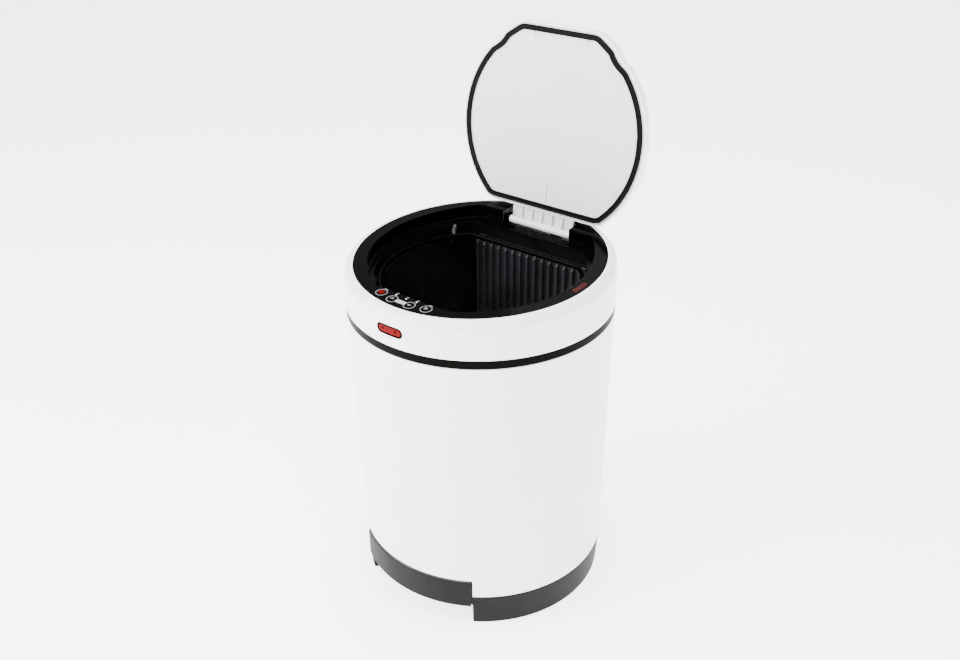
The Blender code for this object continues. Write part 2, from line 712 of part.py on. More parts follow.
def make_hopper():
    def outline(grow):
        return two_chords(HOPPER_R + grow, HOPPER_FRONT + grow, HOPPER_REAR + grow)

    collar_z = SEAM_Z + SEAM_H + GAP
    liner = ring(
        hopper_top(outline(0.0)), level(outline(0.0), HOPPER_FOOT_Z),
        level(outline(WALL), HOPPER_FOOT_Z), level(outline(WALL), collar_z),
        level(outline(COLLAR_OUT), collar_z), level(outline(COLLAR_OUT), collar_z + WALL),
        level(outline(WALL), collar_z + WALL), hopper_top(outline(WALL)),
    )
    hopper = place("hopper_liner", liner, "black_gloss")
    cut(hopper, rod_x(BUSH_R + GAP, -SHAFT_HALF - 0.01, SHAFT_HALF + 0.01, (PRESS_Y, PRESS_Z)))
    gear_r = PRESS_GEAR_TEETH * PRESS_MODULE / 2.0 + PRESS_MODULE + RUN
    half = PRESS_GEAR_W / 2.0 + 2.0 * RUN
    cut(hopper, box((-half, HOPPER_REAR - 0.004, HOPPER_FOOT_Z - 0.01),
                    (half, HOPPER_REAR + 0.01, PRESS_Z + gear_r)))
    for angle in (-38.0, 38.0, 142.0, 218.0):
        lug_z = BAG_RING_Z - GAP
        inner, outer = BAG_RING_IN + 0.001, HOPPER_R + WALL / 2.0
        lug = box((inner, -0.006, lug_z - 0.006), (outer, 0.006, lug_z))
        turn = Matrix.Rotation(math.radians(angle), 4, "Z")
        bmesh.ops.transform(lug, matrix=turn, verts=lug.verts)
        add(hopper, lug)


def make_bag_ring():
    def outline(radius, inset):
        return two_chords(radius - inset, BAG_RING_FRONT - inset, BAG_RING_REAR - inset)

    width = BAG_RING_OUT - BAG_RING_IN
    soft = 0.0012
    low, high = BAG_RING_Z, BAG_RING_Z + BAG_RING_H
    place("bag_ring", ring(
        level(outline(BAG_RING_OUT, soft), high), level(outline(BAG_RING_OUT, 0.0), high - soft),
        level(outline(BAG_RING_OUT, 0.0), low), level(outline(BAG_RING_OUT, width), low),
        level(outline(BAG_RING_OUT, width), high - soft), level(outline(BAG_RING_OUT, width - soft), high),
    ), "black_gloss")


def make_head():
    make_seam_ring()
    make_head_ring()
    make_sensor()
    make_deck()
    make_controls()
    make_socket()
    make_hopper()
    make_bag_ring()


# ---------------------------------------------------------------- lid
def lid_axes(outline):
    """Cabinet-plan points as the lid's own points: X across, -Y away from the hinge."""
    return [(x, y - HINGE_Y) for x, y in outline]


def lid_piece(name, shape, finish):
    return place(name, shape, finish, (0.0, HINGE_Y, HINGE_Z), -LID_OPEN, True)


def lid_level(outline, z):
    return level(lid_axes(outline), z)


SCREW_PLACES = ((0.049, -0.143), (0.111, -0.099), (0.152, -0.007), (0.129, 0.074))


def make_lid():
    edge = lid_outline()
    inner = offset(edge, -WALL)
    cover = lid_piece("lid_cover", stack(
        lid_level(offset(edge, -0.0060), LID_T),
        lid_level(offset(edge, -0.0018), LID_T - 0.0014),
        lid_level(edge, LID_T - 0.0052),
        lid_level(edge, LID_RIM),
        lid_level(inner, LID_RIM),
        lid_level(inner, LID_T - 0.0060),
        lid_level(offset(edge, -0.0070), LID_T - WALL),
    ), "white_gloss")
    slot_low, slot_high = leaf_levels()
    slot = LEAF_HALF + GAP
    rear = LID_REAR - HINGE_Y
    cut(cover, box((-slot, rear - 0.006, slot_low - GAP), (slot, rear + 0.006, slot_high + GAP)))
    panel = lid_piece("lid_inner_panel", stack(
        lid_level(offset(edge, -WALL - GAP), LID_RIM),
        lid_level(offset(edge, -WALL - GAP), LID_RIM + PANEL_T),
    ), "light_grey")
    for i, (x, y) in enumerate(screw_places(), 1):
        spot = (x, y - HINGE_Y)
        top = LID_RIM + PANEL_T + 0.0050
        cut(panel, rod_z(0.0019, LID_RIM - 0.001, LID_RIM + PANEL_T + 0.001, spot, 10))
        head, shank = circle(0.0048, 10, spot), circle(0.0015, 10, spot)
        face = LID_RIM - GAP
        screw = stack(level(head, face - 0.0009), level(head, face), level(shank, face), level(shank, top))
        lid_piece(f"lid_screw_{i}", screw, "light_grey")
    outer, inside = offset(edge, -GASKET_OUT), offset(edge, -GASKET_IN)
    face = LID_RIM - GAP
    lid_piece("lid_gasket", ring(
        lid_level(outer, face), lid_level(outer, face - GASKET_PROUD + 0.0006),
        lid_level(offset(edge, -GASKET_OUT - 0.0012), face - GASKET_PROUD),
        lid_level(offset(edge, -GASKET_IN + 0.0012), face - GASKET_PROUD),
        lid_level(inside, face - GASKET_PROUD + 0.0006), lid_level(inside, face),
    ), "rubber")


def screw_places():
    return [(side * x, y) for x, y in SCREW_PLACES for side in (1.0, -1.0)]


def leaf_levels():
    low = LID_RIM + PANEL_T + GAP
    return low, low + LEAF_T


def make_lid_hinge():
    """Leaf with its barrel, pin, bracket and the gear train that turns the lid."""
    low, high = leaf_levels()
    barrel = tube_x(LEAF_BARREL_R, PIN_R + GAP / 2.0, -LEAF_HALF, LEAF_HALF)
    leaf = lid_piece("lid_hinge_leaf", barrel, "light_grey")
    start = math.sqrt(LEAF_BARREL_R ** 2 - low ** 2) - 0.0022
    add(leaf, box((-LEAF_HALF + GAP, -LEAF_IN, low), (LEAF_HALF - GAP, -start, high)))
    pin_end = LID_GEAR_X + LID_GEAR_W + 0.0015
    lid_piece("lid_hinge_pin", rod_x(PIN_R, -LEAF_HALF - POST_T - 0.002, pin_end, steps=16), "steel")
    phase = -math.pi / 2.0 + LID_OPEN
    wheel = gear(LID_GEAR_TEETH, LID_MODULE, LID_GEAR_X, LID_GEAR_X + LID_GEAR_W, (0.0, 0.0), phase)
    wheel = lid_piece("lid_gear", wheel, "nylon")
    cut(wheel, rod_x(PIN_R + GAP / 2.0, LID_GEAR_X - 0.001, LID_GEAR_X + LID_GEAR_W + 0.001, steps=16))
    centre = (HINGE_Y, HINGE_Z - LID_MODULE * (LID_GEAR_TEETH + LID_PINION_TEETH) / 2.0)
    half_tooth = math.pi / LID_PINION_TEETH
    pinion = gear(LID_PINION_TEETH, LID_MODULE, LID_GEAR_X, LID_GEAR_X + LID_GEAR_W + 0.001, centre,
                  math.pi / 2.0 + half_tooth)
    pinion = place("lid_pinion", pinion, "steel", (0.0, *centre))
    cut(pinion, rod_x(0.0020, LID_GEAR_X - 0.001, LID_GEAR_X + LID_GEAR_W + 0.002, steps=12))
    near = LID_GEAR_X + LID_GEAR_W + 0.0020
    motor = place("lid_motor", rod_x(0.0095, near, near + 0.0280, centre, 20), "motor_steel")
    add(motor, rod_x(0.0016, LID_GEAR_X - 0.0005, near + 0.001, centre, 12))
    posts = []
    for side in (-1.0, 1.0):
        x = side * (LEAF_HALF + RUN + POST_T / 2.0)
        foot = SEAM_Z + SEAM_H + 0.0045
        post = box((x - POST_T / 2.0 + RUN, HINGE_Y - 0.0085, foot),
                   (x + POST_T / 2.0, HINGE_Y + 0.0085, HINGE_Z + 0.0070))
        posts.append(post)
    bracket = place("hinge_bracket", merged(posts), "black_satin")
    plate = box((-LEAF_HALF - POST_T / 2.0, HINGE_Y - 0.0085, foot),
                (LEAF_HALF + POST_T / 2.0, HINGE_Y + 0.0085, foot + 0.0035))
    add(bracket, plate)
    cut(bracket, rod_x(PIN_R + GAP, -LEAF_HALF - 0.02, LEAF_HALF + 0.02, (HINGE_Y, HINGE_Z), 16))


# ---------------------------------------------------------------- press works
def make_press():
    """Ribbed press plate on its shaft, with the part gear on its back. Origin on the shaft."""
    shaft = (0.0, PRESS_Y, PRESS_Z)
    front = 0.0015
    half, top = PRESS_HALF, PRESS_LENGTH
    face = [(-half, front), (half, front), (half, front + PRESS_T), (-half, front + PRESS_T)]
    plate = stack(level(face, 0.0030), level(face, top))
    press = place("press_plate", plate, "black_satin", shaft, 0.0, True)
    add(press, rod_x(BARREL_R, -half, half, steps=20))
    first = -RIB_PITCH * (RIB_COUNT - 1) / 2.0
    ribs = []
    for i in range(RIB_COUNT):
        x = first + RIB_PITCH * i
        side = [(front + 0.0010, BARREL_R - 0.002), (front + 0.0010, top - 0.0030),
                (front - 0.002, top - 0.0030), (front - RIB_DEPTH, top - 0.0080),
                (front - RIB_DEPTH, BARREL_R + 0.012), (front - 0.003, BARREL_R - 0.002)]
        ribs.append(along_x(side, x - RIB_T / 2.0, x + RIB_T / 2.0))
    add(press, merged(ribs))
    gap = PRESS_GEAR_W / 2.0 + RUN
    cut(press, box((-gap, -0.0200, -0.0200), (gap, 0.0200, 0.0150)))
    cut(press, rod_x(SHAFT_R + GAP / 2.0, -half - 0.001, half + 0.001, steps=16))
    place("press_shaft", rod_x(SHAFT_R, -SHAFT_HALF, SHAFT_HALF, shaft[1:], 16), "steel", shaft)
    for side, name in ((-1.0, "press_bush_left"), (1.0, "press_bush_right")):
        low, high = sorted((side * (half + RUN), side * (half + BUSH_LENGTH)))
        place(name, tube_x(BUSH_R, SHAFT_R + GAP, low, high, shaft[1:], 16), "nylon")
    kept = math.ceil(PRESS_SWING / (2.0 * math.pi) * PRESS_GEAR_TEETH) + 2
    tooth = 2.0 * math.pi / PRESS_GEAR_TEETH
    phase = -kept * tooth + 1.0 * tooth
    half_w = PRESS_GEAR_W / 2.0
    sector = gear(PRESS_GEAR_TEETH, PRESS_MODULE, -half_w, half_w, (0.0, 0.0), phase, 0, kept)
    wheel = place("press_gear", sector, "steel", shaft, 0.0, True)
    cut(wheel, rod_x(SHAFT_R + GAP / 2.0, -half_w - 0.001, half_w + 0.001, steps=16))
    centre = (PRESS_Y + PRESS_MODULE * (PRESS_GEAR_TEETH + PRESS_PINION_TEETH) / 2.0, PRESS_Z)
    half_tooth = math.pi / PRESS_PINION_TEETH
    pinion = gear(PRESS_PINION_TEETH, PRESS_MODULE, -half_w - RUN, half_w + RUN, centre, math.pi + half_tooth)
    pinion = place("press_pinion", pinion, "steel", (0.0, *centre))
    cut(pinion, rod_x(0.0030, -half_w - 0.003, half_w + 0.003, steps=12))
    make_press_motor(centre, half_w + 3.0 * RUN)


def make_press_motor(centre, near):
    gearbox = place("press_gearbox", rod_x(0.0180, near, near + 0.0200, centre, 24), "motor_steel")
    add(gearbox, rod_x(0.0026, -near + 0.001, near + 0.001, centre, 12))
    start = near + 0.0200 + GAP
    place("press_motor", rod_x(0.0150, start, start + 0.0450, centre, 24), "motor_steel")
    back = HOPPER_REAR + WALL + GAP
    y, z = centre
    reach = 0.0220
    lug = box((near, back, z - reach), (near + 0.0030, y + 0.006, z + reach))
    hanger = place("motor_hanger", lug, "steel")
    add(hanger, box((near, back, z - reach), (near + 0.0240, back + 0.0020, z + reach)))
    cut(hanger, rod_x(0.0180 + GAP, near - 0.001, near + 0.05, centre, 24))
    place("main_board", box((-0.045, back, 0.3600), (0.045, back + 0.0016, 0.4300)), "board")


clear_scene()
make_cabinet()
make_head()
make_lid()
make_lid_hinge()
make_press()
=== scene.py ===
"""Looks of the round trash compactor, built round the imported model."""

import json
import math

import bmesh
import bpy
from mathutils import Matrix, Vector


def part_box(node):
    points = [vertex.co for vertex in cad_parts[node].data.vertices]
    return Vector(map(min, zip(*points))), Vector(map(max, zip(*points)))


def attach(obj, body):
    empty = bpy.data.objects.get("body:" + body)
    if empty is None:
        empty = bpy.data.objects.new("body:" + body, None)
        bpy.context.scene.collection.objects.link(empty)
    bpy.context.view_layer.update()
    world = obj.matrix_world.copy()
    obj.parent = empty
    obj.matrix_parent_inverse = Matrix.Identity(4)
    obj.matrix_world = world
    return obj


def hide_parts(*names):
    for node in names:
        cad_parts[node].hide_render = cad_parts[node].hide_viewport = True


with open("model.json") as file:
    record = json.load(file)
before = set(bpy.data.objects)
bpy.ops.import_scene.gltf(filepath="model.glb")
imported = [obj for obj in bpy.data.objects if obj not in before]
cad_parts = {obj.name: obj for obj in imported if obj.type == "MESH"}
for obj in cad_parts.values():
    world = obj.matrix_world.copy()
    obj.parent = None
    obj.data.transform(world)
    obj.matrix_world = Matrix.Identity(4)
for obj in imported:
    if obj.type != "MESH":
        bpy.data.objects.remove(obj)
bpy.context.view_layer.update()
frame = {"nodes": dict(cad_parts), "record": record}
NODES = frame["nodes"]
BODY_OF = {node: body for body, nodes in frame["record"]["behaviour"]["bodies"].items() for node in nodes}
JOINTS = {joint["name"]: joint for joint in frame["record"]["behaviour"]["joints"]}


def size_of(node):
    low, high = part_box(node)
    return Vector(low), Vector(high)


# ---------------------------------------------------------------- sizes, from the frame
BODY_LOW, BODY_HIGH = size_of("body_shell")
HEAD_LOW, HEAD_HIGH = size_of("head_ring")
SEAM_LOW, SEAM_HIGH = size_of("seam_ring")
BASE_LOW = size_of("base_moulding")[0]
PEDAL_LOW, PEDAL_HIGH = size_of("pedal_bar")
BEZEL_LOW, BEZEL_HIGH = size_of("sensor_bezel")

GAP = 0.0004
RUN = 0.0010
WALL = 0.0025
STEPS = 180
DECK_TILT = math.radians(2.86)
DECK_AXIS_Z = 0.5694
BASE_FOOT_R = 0.1999
BASE_TOP_R = 0.2037
BASE_TOP_Z = 0.0575
BODY_FOOT_R = 0.2040
BODY_TOP_R = BODY_HIGH.x
HEAD_R = HEAD_HIGH.x
HEAD_EDGE_R = 0.1960
HEAD_ROUND = 0.0150
SEAM_R = SEAM_HIGH.x
SEAM_TOP = SEAM_HIGH.z
SEAM_H = 0.0135
PEDAL_ANGLE = math.radians(32.5)
PEDAL_END_GAP = 0.0021
PEDAL_R = 0.2068
PEDAL_T = 0.0070
RECESS_HALF = 0.1135
RECESS_BACK = 0.1380
RECESS_TOP = 0.0975
LID_R = 0.1730
LID_FRONT = 0.1618
LID_FRONT_HALF = 0.0745
LID_REAR = 0.1350
LID_T = 0.0180
LID_RIM = 0.0005
PANEL_T = 0.0030
GASKET_PROUD = 0.0030
GASKET_OUT = 0.0055
GASKET_IN = 0.0140
LEDGE_DEPTH = 0.0180
OPENING_INSET = 0.0085
REAR_SWING = 0.0085
SWING_FROM = 0.0600
HOPPER_R = 0.1745
HOPPER_REAR = 0.1345
HOPPER_FRONT = 0.1595
HOPPER_FOOT_Z = 0.2620
LEAF_HALF = 0.0600
SENSOR_Z = (BEZEL_LOW.z + BEZEL_HIGH.z) / 2.0
SENSOR_W, SENSOR_H, SENSOR_RIM = 0.0480, 0.0160, 0.0022
INDICATOR_R = 0.1860
SOCKET_R, SOCKET_Z = 0.0070, 0.5260
LID_HINGE = Vector(JOINTS["lid_hinge"]["pos_m"])
LID_OPEN = math.radians(JOINTS["lid_hinge"]["range_deg"][1]) - DECK_TILT
LID_AXES = Matrix.Translation(LID_HINGE) @ Matrix.Rotation(-LID_OPEN, 4, "X")


# ---------------------------------------------------------------- shapes
def skin(loops, closed=False, cap_low=True, cap_high=True):
    """Joins equal loops of points in order; open stacks are capped, closed ones are a ring."""
    shape = bmesh.new()
    rows = [[shape.verts.new(point) for point in loop] for loop in loops]
    count = len(rows[0])
    pairs = list(zip(rows, rows[1:])) + ([(rows[-1], rows[0])] if closed else [])
    for low, high in pairs:
        for i in range(count):
            j = (i + 1) % count
            shape.faces.new((low[i], low[j], high[j], high[i]))
    if not closed and cap_low:
        shape.faces.new(rows[0][::-1])
    if not closed and cap_high:
        shape.faces.new(rows[-1])
    return shape


def stack(*loops):
    return skin(loops)


def ring(*loops):
    return skin(loops, closed=True)


def level(outline, z):
    return [(x, y, z) for x, y in outline]


def circle(radius, steps=STEPS, centre=(0.0, 0.0)):
    turns = (2.0 * math.pi * i / steps for i in range(steps))
    return [(centre[0] + radius * math.cos(a), centre[1] + radius * math.sin(a)) for a in turns]


def offset(outline, distance):
    """Moves a counter-clockwise outline outwards, or inwards where the distance is negative."""
    moved = []
    count = len(outline)
    for i, point in enumerate(outline):
        before = (Vector(point) - Vector(outline[i - 1])).normalized()
        after = (Vector(outline[(i + 1) % count]) - Vector(point)).normalized()
        normal = Vector((before.y + after.y, -before.x - after.x)).normalized()
        lean = max(0.5, normal.dot(Vector((after.y, -after.x))))
        moved.append(tuple(Vector(point) + normal * distance / lean))
    return moved


def rounded(outline, times=2):
    """Cuts the corners of an outline, keeping long straights."""
    for _ in range(times):
        count = len(outline)
        softer = []
        for i in range(count):
            last, here, after = (Vector(outline[(i + k) % count]) for k in (-1, 0, 1))
            for other in (last, after):
                reach = min(0.25, 0.004 / max((other - here).length, 1e-6))
                softer.append(tuple(here.lerp(other, reach)))
        outline = softer
    return outline


def box(low, high):
    outline = ((low[0], low[1]), (high[0], low[1]), (high[0], high[1]), (low[0], high[1]))
    return stack(level(outline, low[2]), level(outline, high[2]))


def pill(width, height, steps=12, spans=12):
    """A slot-shaped outline about the origin, long way along X, with points along its straights."""
    reach = (width - height) / 2.0
    outline = []
    for side, start in ((reach, -90.0), (-reach, 90.0)):
        for i in range(steps + 1):
            a = math.radians(start + 180.0 * i / steps)
            outline.append((side + height / 2.0 * math.cos(a), height / 2.0 * math.sin(a)))
        for i in range(1, spans):
            outline.append((side - 2.0 * side * i / spans, outline[-1][1]))
    return outline


def mapped(shape, change):
    for vertex in shape.verts:
        vertex.co = change(vertex.co)
    return shape


def bent(shape, radius):
    """Wraps a shape drawn at the front plane round the cabinet's axis at a radius."""
    def wrap(point):
        a = -math.pi / 2.0 + point.x / radius
        return Vector((-point.y * math.cos(a), -point.y * math.sin(a), point.z))
    return mapped(shape, wrap)


def deck_z(y):
    return DECK_AXIS_Z + y * math.tan(DECK_TILT)


def on_deck(outline, depth=0.0):
    return [(x, y, deck_z(y) - depth) for x, y in outline]


def front_arc(radius, half_turn, steps):
    turns = (-math.pi / 2.0 - half_turn + 2.0 * half_turn * i / steps for i in range(steps + 1))
    return [(radius * math.cos(a), radius * math.sin(a)) for a in turns]


def two_chords(radius, front, rear, steps=STEPS):
    """A circle cut by a straight front (-Y) and a straight rear (+Y)."""
    front_turn, rear_turn = math.acos(front / radius), math.acos(rear / radius)
    right = math.pi - front_turn - rear_turn
    count = round(steps * right / (2.0 * math.pi))
    turns = [-math.pi / 2.0 + front_turn + right * i / count for i in range(count + 1)]
    side = [(radius * math.cos(a), radius * math.sin(a)) for a in turns]
    return side + [(-x, y) for x, y in reversed(side)]


def lid_half():
    """Right half of the lid's edge seen from above, from the front middle to the rear middle."""
    front = [(0.0, -LID_FRONT), (LID_FRONT_HALF * 0.5, -LID_FRONT), (LID_FRONT_HALF - 0.006, -LID_FRONT)]
    corner = [(LID_FRONT_HALF + 0.003, -LID_FRONT + 0.0035), (LID_R * 0.595, -LID_R * 0.815)]
    dent = [(LID_R * 0.630, -LID_R * 0.757), (LID_R * 0.670, -LID_R * 0.717), (LID_R * 0.751, -LID_R * 0.665)]
    start, end = math.radians(-37.0), math.asin(LID_REAR / LID_R)
    count = 54
    turns = [start + (end - start) * i / count for i in range(count + 1)]
    side = [(LID_R * math.cos(a), LID_R * math.sin(a)) for a in turns]
    tail = [(side[-1][0] * 0.94, LID_REAR), (side[-1][0] * 0.5, LID_REAR), (0.0, LID_REAR)]
    side[-1] = (side[-1][0] * 0.992, side[-1][1] * 0.985)
    return front + corner + dent + side + tail


def lid_outline():
    half = lid_half()
    return rounded(half + [(-x, y) for x, y in half[-2:0:-1]])


def polar_match(outline, radius):
    matched = []
    for x, y in outline:
        reach = math.hypot(x, y)
        matched.append((x * radius / reach, y * radius / reach))
    return matched


# ---------------------------------------------------------------- making and placing pieces
def finished(made, sharp=32.0):
    made.data.shade_smooth()
    made.data.set_sharp_from_angle(angle=math.radians(sharp))
    if "facing" not in made.modifiers:
        made.modifiers.new("facing", "WEIGHTED_NORMAL").keep_sharp = True
    return made


def piece(name, shape, finish, body, axes=None, sharp=32.0):
    bmesh.ops.recalc_face_normals(shape, faces=shape.faces)
    if axes is not None:
        bmesh.ops.transform(shape, matrix=axes, verts=shape.verts)
    mesh = bpy.data.meshes.new(name)
    shape.to_mesh(mesh)
    shape.free()
    made = bpy.data.objects.new(name, mesh)
    bpy.context.scene.collection.objects.link(made)
    mesh.materials.append(finish)
    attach(made, body)
    return finished(made, sharp)


def instead(name, shape, finish, node, axes=None, sharp=32.0):
    """A piece that stands for one CAD node and rides where it rides."""
    made = piece(name, shape, finish, BODY_OF[node], axes, sharp)
    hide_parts(node)
    return made


def settle(made):
    """Applies a piece's modifiers."""
    ready = made.evaluated_get(bpy.context.evaluated_depsgraph_get())
    mesh = bpy.data.meshes.new_from_object(ready)
    made.modifiers.clear()
    made.data = mesh
    return made


def carve(made, shape, operation="DIFFERENCE", axes=None):
    bmesh.ops.recalc_face_normals(shape, faces=shape.faces)
    if axes is not None:
        bmesh.ops.transform(shape, matrix=axes, verts=shape.verts)
    mesh = bpy.data.meshes.new("tool")
    shape.to_mesh(mesh)
    shape.free()
    tool = bpy.data.objects.new("tool", mesh)
    bpy.context.scene.collection.objects.link(tool)
    step = made.modifiers.new("carve", "BOOLEAN")
    step.operation, step.solver, step.object = operation, "EXACT", tool
    settle(made)
    bpy.data.objects.remove(tool, do_unlink=True)
    return finished(made)


def soften(made, width, segments=3, angle=35.0):
    """Rounds the sharp edges of a piece."""
    step = made.modifiers.new("soften", "BEVEL")
    step.width, step.segments = width, segments
    step.limit_method, step.angle_limit = "ANGLE", math.radians(angle)
    step.use_clamp_overlap = True
    step.harden_normals = False
    settle(made)
    return finished(made, 45.0)


def refined(node, finish, width=0.0003, segments=2):
    """The CAD node's own shape with rounded edges and smooth faces."""
    source = NODES[node]
    shape = bmesh.new()
    shape.from_mesh(source.data)
    bmesh.ops.remove_doubles(shape, verts=shape.verts, dist=0.00001)
    bmesh.ops.dissolve_limit(shape, angle_limit=math.radians(1.0), verts=shape.verts, edges=shape.edges)
    made = instead(f"{node}_fine", shape, finish, node, source.matrix_world.copy())
    return soften(made, width, segments) if width else made


# ---------------------------------------------------------------- materials
def moulded(name, colour, rough, grain=0.0, grain_scale=900.0, mottle=0.03, metallic=0.0, coat=0.0,
            vary=0.05, wave=0.0, level=0.5):
    """A moulded surface: slight mottling, uneven gloss, fine grain and a faint waviness."""
    made = bpy.data.materials.new(name)
    made.use_nodes = True
    nodes, links = made.node_tree.nodes, made.node_tree.links
    shader = nodes["Principled BSDF"]
    shader.inputs["Metallic"].default_value = metallic
    shader.inputs["Coat Weight"].default_value = coat
    shader.inputs["Specular IOR Level"].default_value = level
    shader.inputs["Coat Roughness"].default_value = 0.06
    place = nodes.new("ShaderNodeTexCoord")

    def noise(scale, detail=3.0):
        node = nodes.new("ShaderNodeTexNoise")
        node.inputs["Scale"].default_value = scale
        node.inputs["Detail"].default_value = detail
        links.new(place.outputs["Object"], node.inputs["Vector"])
        return node

    clouds = noise(14.0)
    tint = nodes.new("ShaderNodeValToRGB")
    low = [max(0.0, c * (1.0 - mottle)) for c in colour]
    high = [min(1.0, c * (1.0 + mottle)) for c in colour]
    tint.color_ramp.elements[0].color = (*low, 1.0)
    tint.color_ramp.elements[1].color = (*high, 1.0)
    tint.color_ramp.elements[0].position, tint.color_ramp.elements[1].position = 0.3, 0.7
    links.new(clouds.outputs["Fac"], tint.inputs["Fac"])
    links.new(tint.outputs["Color"], shader.inputs["Base Color"])
    smears = noise(42.0, 5.0)
    gloss = nodes.new("ShaderNodeMapRange")
    gloss.inputs["To Min"].default_value = max(0.02, rough - vary)
    gloss.inputs["To Max"].default_value = rough + vary
    links.new(smears.outputs["Fac"], gloss.inputs["Value"])
    links.new(gloss.outputs["Result"], shader.inputs["Roughness"])
    normal = None
    for strength, scale, depth in ((wave, 9.0, 0.002), (grain, grain_scale, 0.0002)):
        if strength:
            bump = nodes.new("ShaderNodeBump")
            bump.inputs["Strength"].default_value = strength
            bump.inputs["Distance"].default_value = depth
            links.new(noise(scale, 2.0).outputs["Fac"], bump.inputs["Height"])
            if normal is not None:
                links.new(normal.outputs["Normal"], bump.inputs["Normal"])
            normal = bump
    if normal is not None:
        links.new(normal.outputs["Normal"], shader.inputs["Normal"])
    return made


def lens_red(name, colour, rough, glow=0.0):
    made = moulded(name, colour, rough, mottle=0.12, vary=0.03, level=0.04)
    shader = made.node_tree.nodes["Principled BSDF"]
    shader.inputs["Transmission Weight"].default_value = 0.0
    shader.inputs["IOR"].default_value = 1.49
    shader.inputs["Emission Color"].default_value = (*colour, 1.0)
    shader.inputs["Emission Strength"].default_value = glow
    return made


def brushed(name, colour, rough):
    """Turned or drawn metal with fine lines."""
    made = moulded(name, colour, rough, metallic=1.0, vary=0.08, mottle=0.05)
    nodes, links = made.node_tree.nodes, made.node_tree.links
    shader = nodes["Principled BSDF"]
    stretch = nodes.new("ShaderNodeMapping")
    stretch.inputs["Scale"].default_value = (40.0, 900.0, 900.0)
    lines = nodes.new("ShaderNodeTexNoise")
    lines.inputs["Scale"].default_value = 3.0
    bump = nodes.new("ShaderNodeBump")
    bump.inputs["Strength"].default_value = 0.15
    bump.inputs["Distance"].default_value = 0.0002
    links.new(nodes["Texture Coordinate"].outputs["Object"], stretch.inputs["Vector"])
    links.new(stretch.outputs["Vector"], lines.inputs["Vector"])
    links.new(lines.outputs["Fac"], bump.inputs["Height"])
    links.new(bump.outputs["Normal"], shader.inputs["Normal"])
    return made


WHITE = moulded("white_gloss_moulding", (0.88, 0.885, 0.915), 0.30, grain=0.02, mottle=0.012, coat=0.35,
                wave=0.04)
LID_WHITE = moulded("white_lid_moulding", (0.88, 0.885, 0.91), 0.28, grain=0.02, mottle=0.012, coat=0.35)
PALE = moulded("pale_grey_panel", (0.60, 0.61, 0.62), 0.42, grain=0.10, mottle=0.02, grain_scale=1400.0)
BOSS = moulded("pale_grey_boss", (0.64, 0.65, 0.66), 0.34, grain=0.05, mottle=0.03)
PIANO = moulded("piano_black", (0.0006, 0.0006, 0.0007), 0.13, mottle=0.3, level=0.015, vary=0.05, wave=0.02)
LINER = moulded("liner_black", (0.004, 0.004, 0.0045), 0.16, level=0.55, mottle=0.4, vary=0.07, wave=0.10)
SATIN = moulded("satin_black", (0.0014, 0.0010, 0.0006), 0.36, level=0.02, grain=0.12, mottle=0.2)
RIBS = moulded("rib_black", (0.024, 0.025, 0.028), 0.22, level=0.6, grain=0.15, mottle=0.3)
FOOT = moulded("foot_grey", (0.0055, 0.0056, 0.0052), 0.50, level=0.06, grain=0.30, mottle=0.06,
               grain_scale=1600.0)
LEDGE = moulded("foot_bar_top_black", (0.008, 0.008, 0.008), 0.18, mottle=0.2, coat=0.3)
RUBBER = moulded("gasket_rubber", (0.0015, 0.0015, 0.0015), 0.60, level=0.05, grain=0.35, mottle=0.25,
                 grain_scale=700.0)
LENS = lens_red("sensor_red", (0.110, 0.0001, 0.0004), 0.14, 0.0)
GLOW = lens_red("indicator_red", (0.028, 0.0006, 0.0008), 0.24, 0.0)
CELL = moulded("cell_dark_red", (0.012, 0.0002, 0.0003), 0.30, mottle=0.2, level=0.01)
LED = moulded("light_pipe_white", (0.88, 0.89, 0.90), 0.25, mottle=0.02, coat=0.4)
PRINT = moulded("panel_print_white", (0.22, 0.22, 0.23), 0.45, mottle=0.03, level=0.1)
PRINT_RED = moulded("panel_print_red", (0.130, 0.001, 0.001), 0.40, mottle=0.05, level=0.02)
BAR = moulded("panel_bar_grey", (0.30, 0.30, 0.33), 0.36, mottle=0.04, level=0.2)
BOARD = moulded("board_green", (0.015, 0.11, 0.04), 0.45, grain=0.2, mottle=0.15)
NYLON = moulded("natural_nylon", (0.74, 0.71, 0.62), 0.45, grain=0.1, mottle=0.04)
STEEL = brushed("turned_steel", (0.58, 0.59, 0.61), 0.28)
CAN = brushed("motor_can", (0.44, 0.45, 0.47), 0.34)


# ---------------------------------------------------------------- cabinet
def base_r(z):
    return BASE_FOOT_R + (BASE_TOP_R - BASE_FOOT_R) * z / BASE_TOP_Z


def body_r(z):
    share = (z - BASE_TOP_Z) / (BODY_HIGH.z + GAP - BASE_TOP_Z)
    return BODY_FOOT_R + (BODY_TOP_R - BODY_FOOT_R) * share


def foot_window(reach_in, reach_out):
    end_turn = PEDAL_ANGLE + PEDAL_END_GAP / PEDAL_R
    return front_arc(reach_out, end_turn, 48) + front_arc(reach_in, end_turn, 48)[::-1]


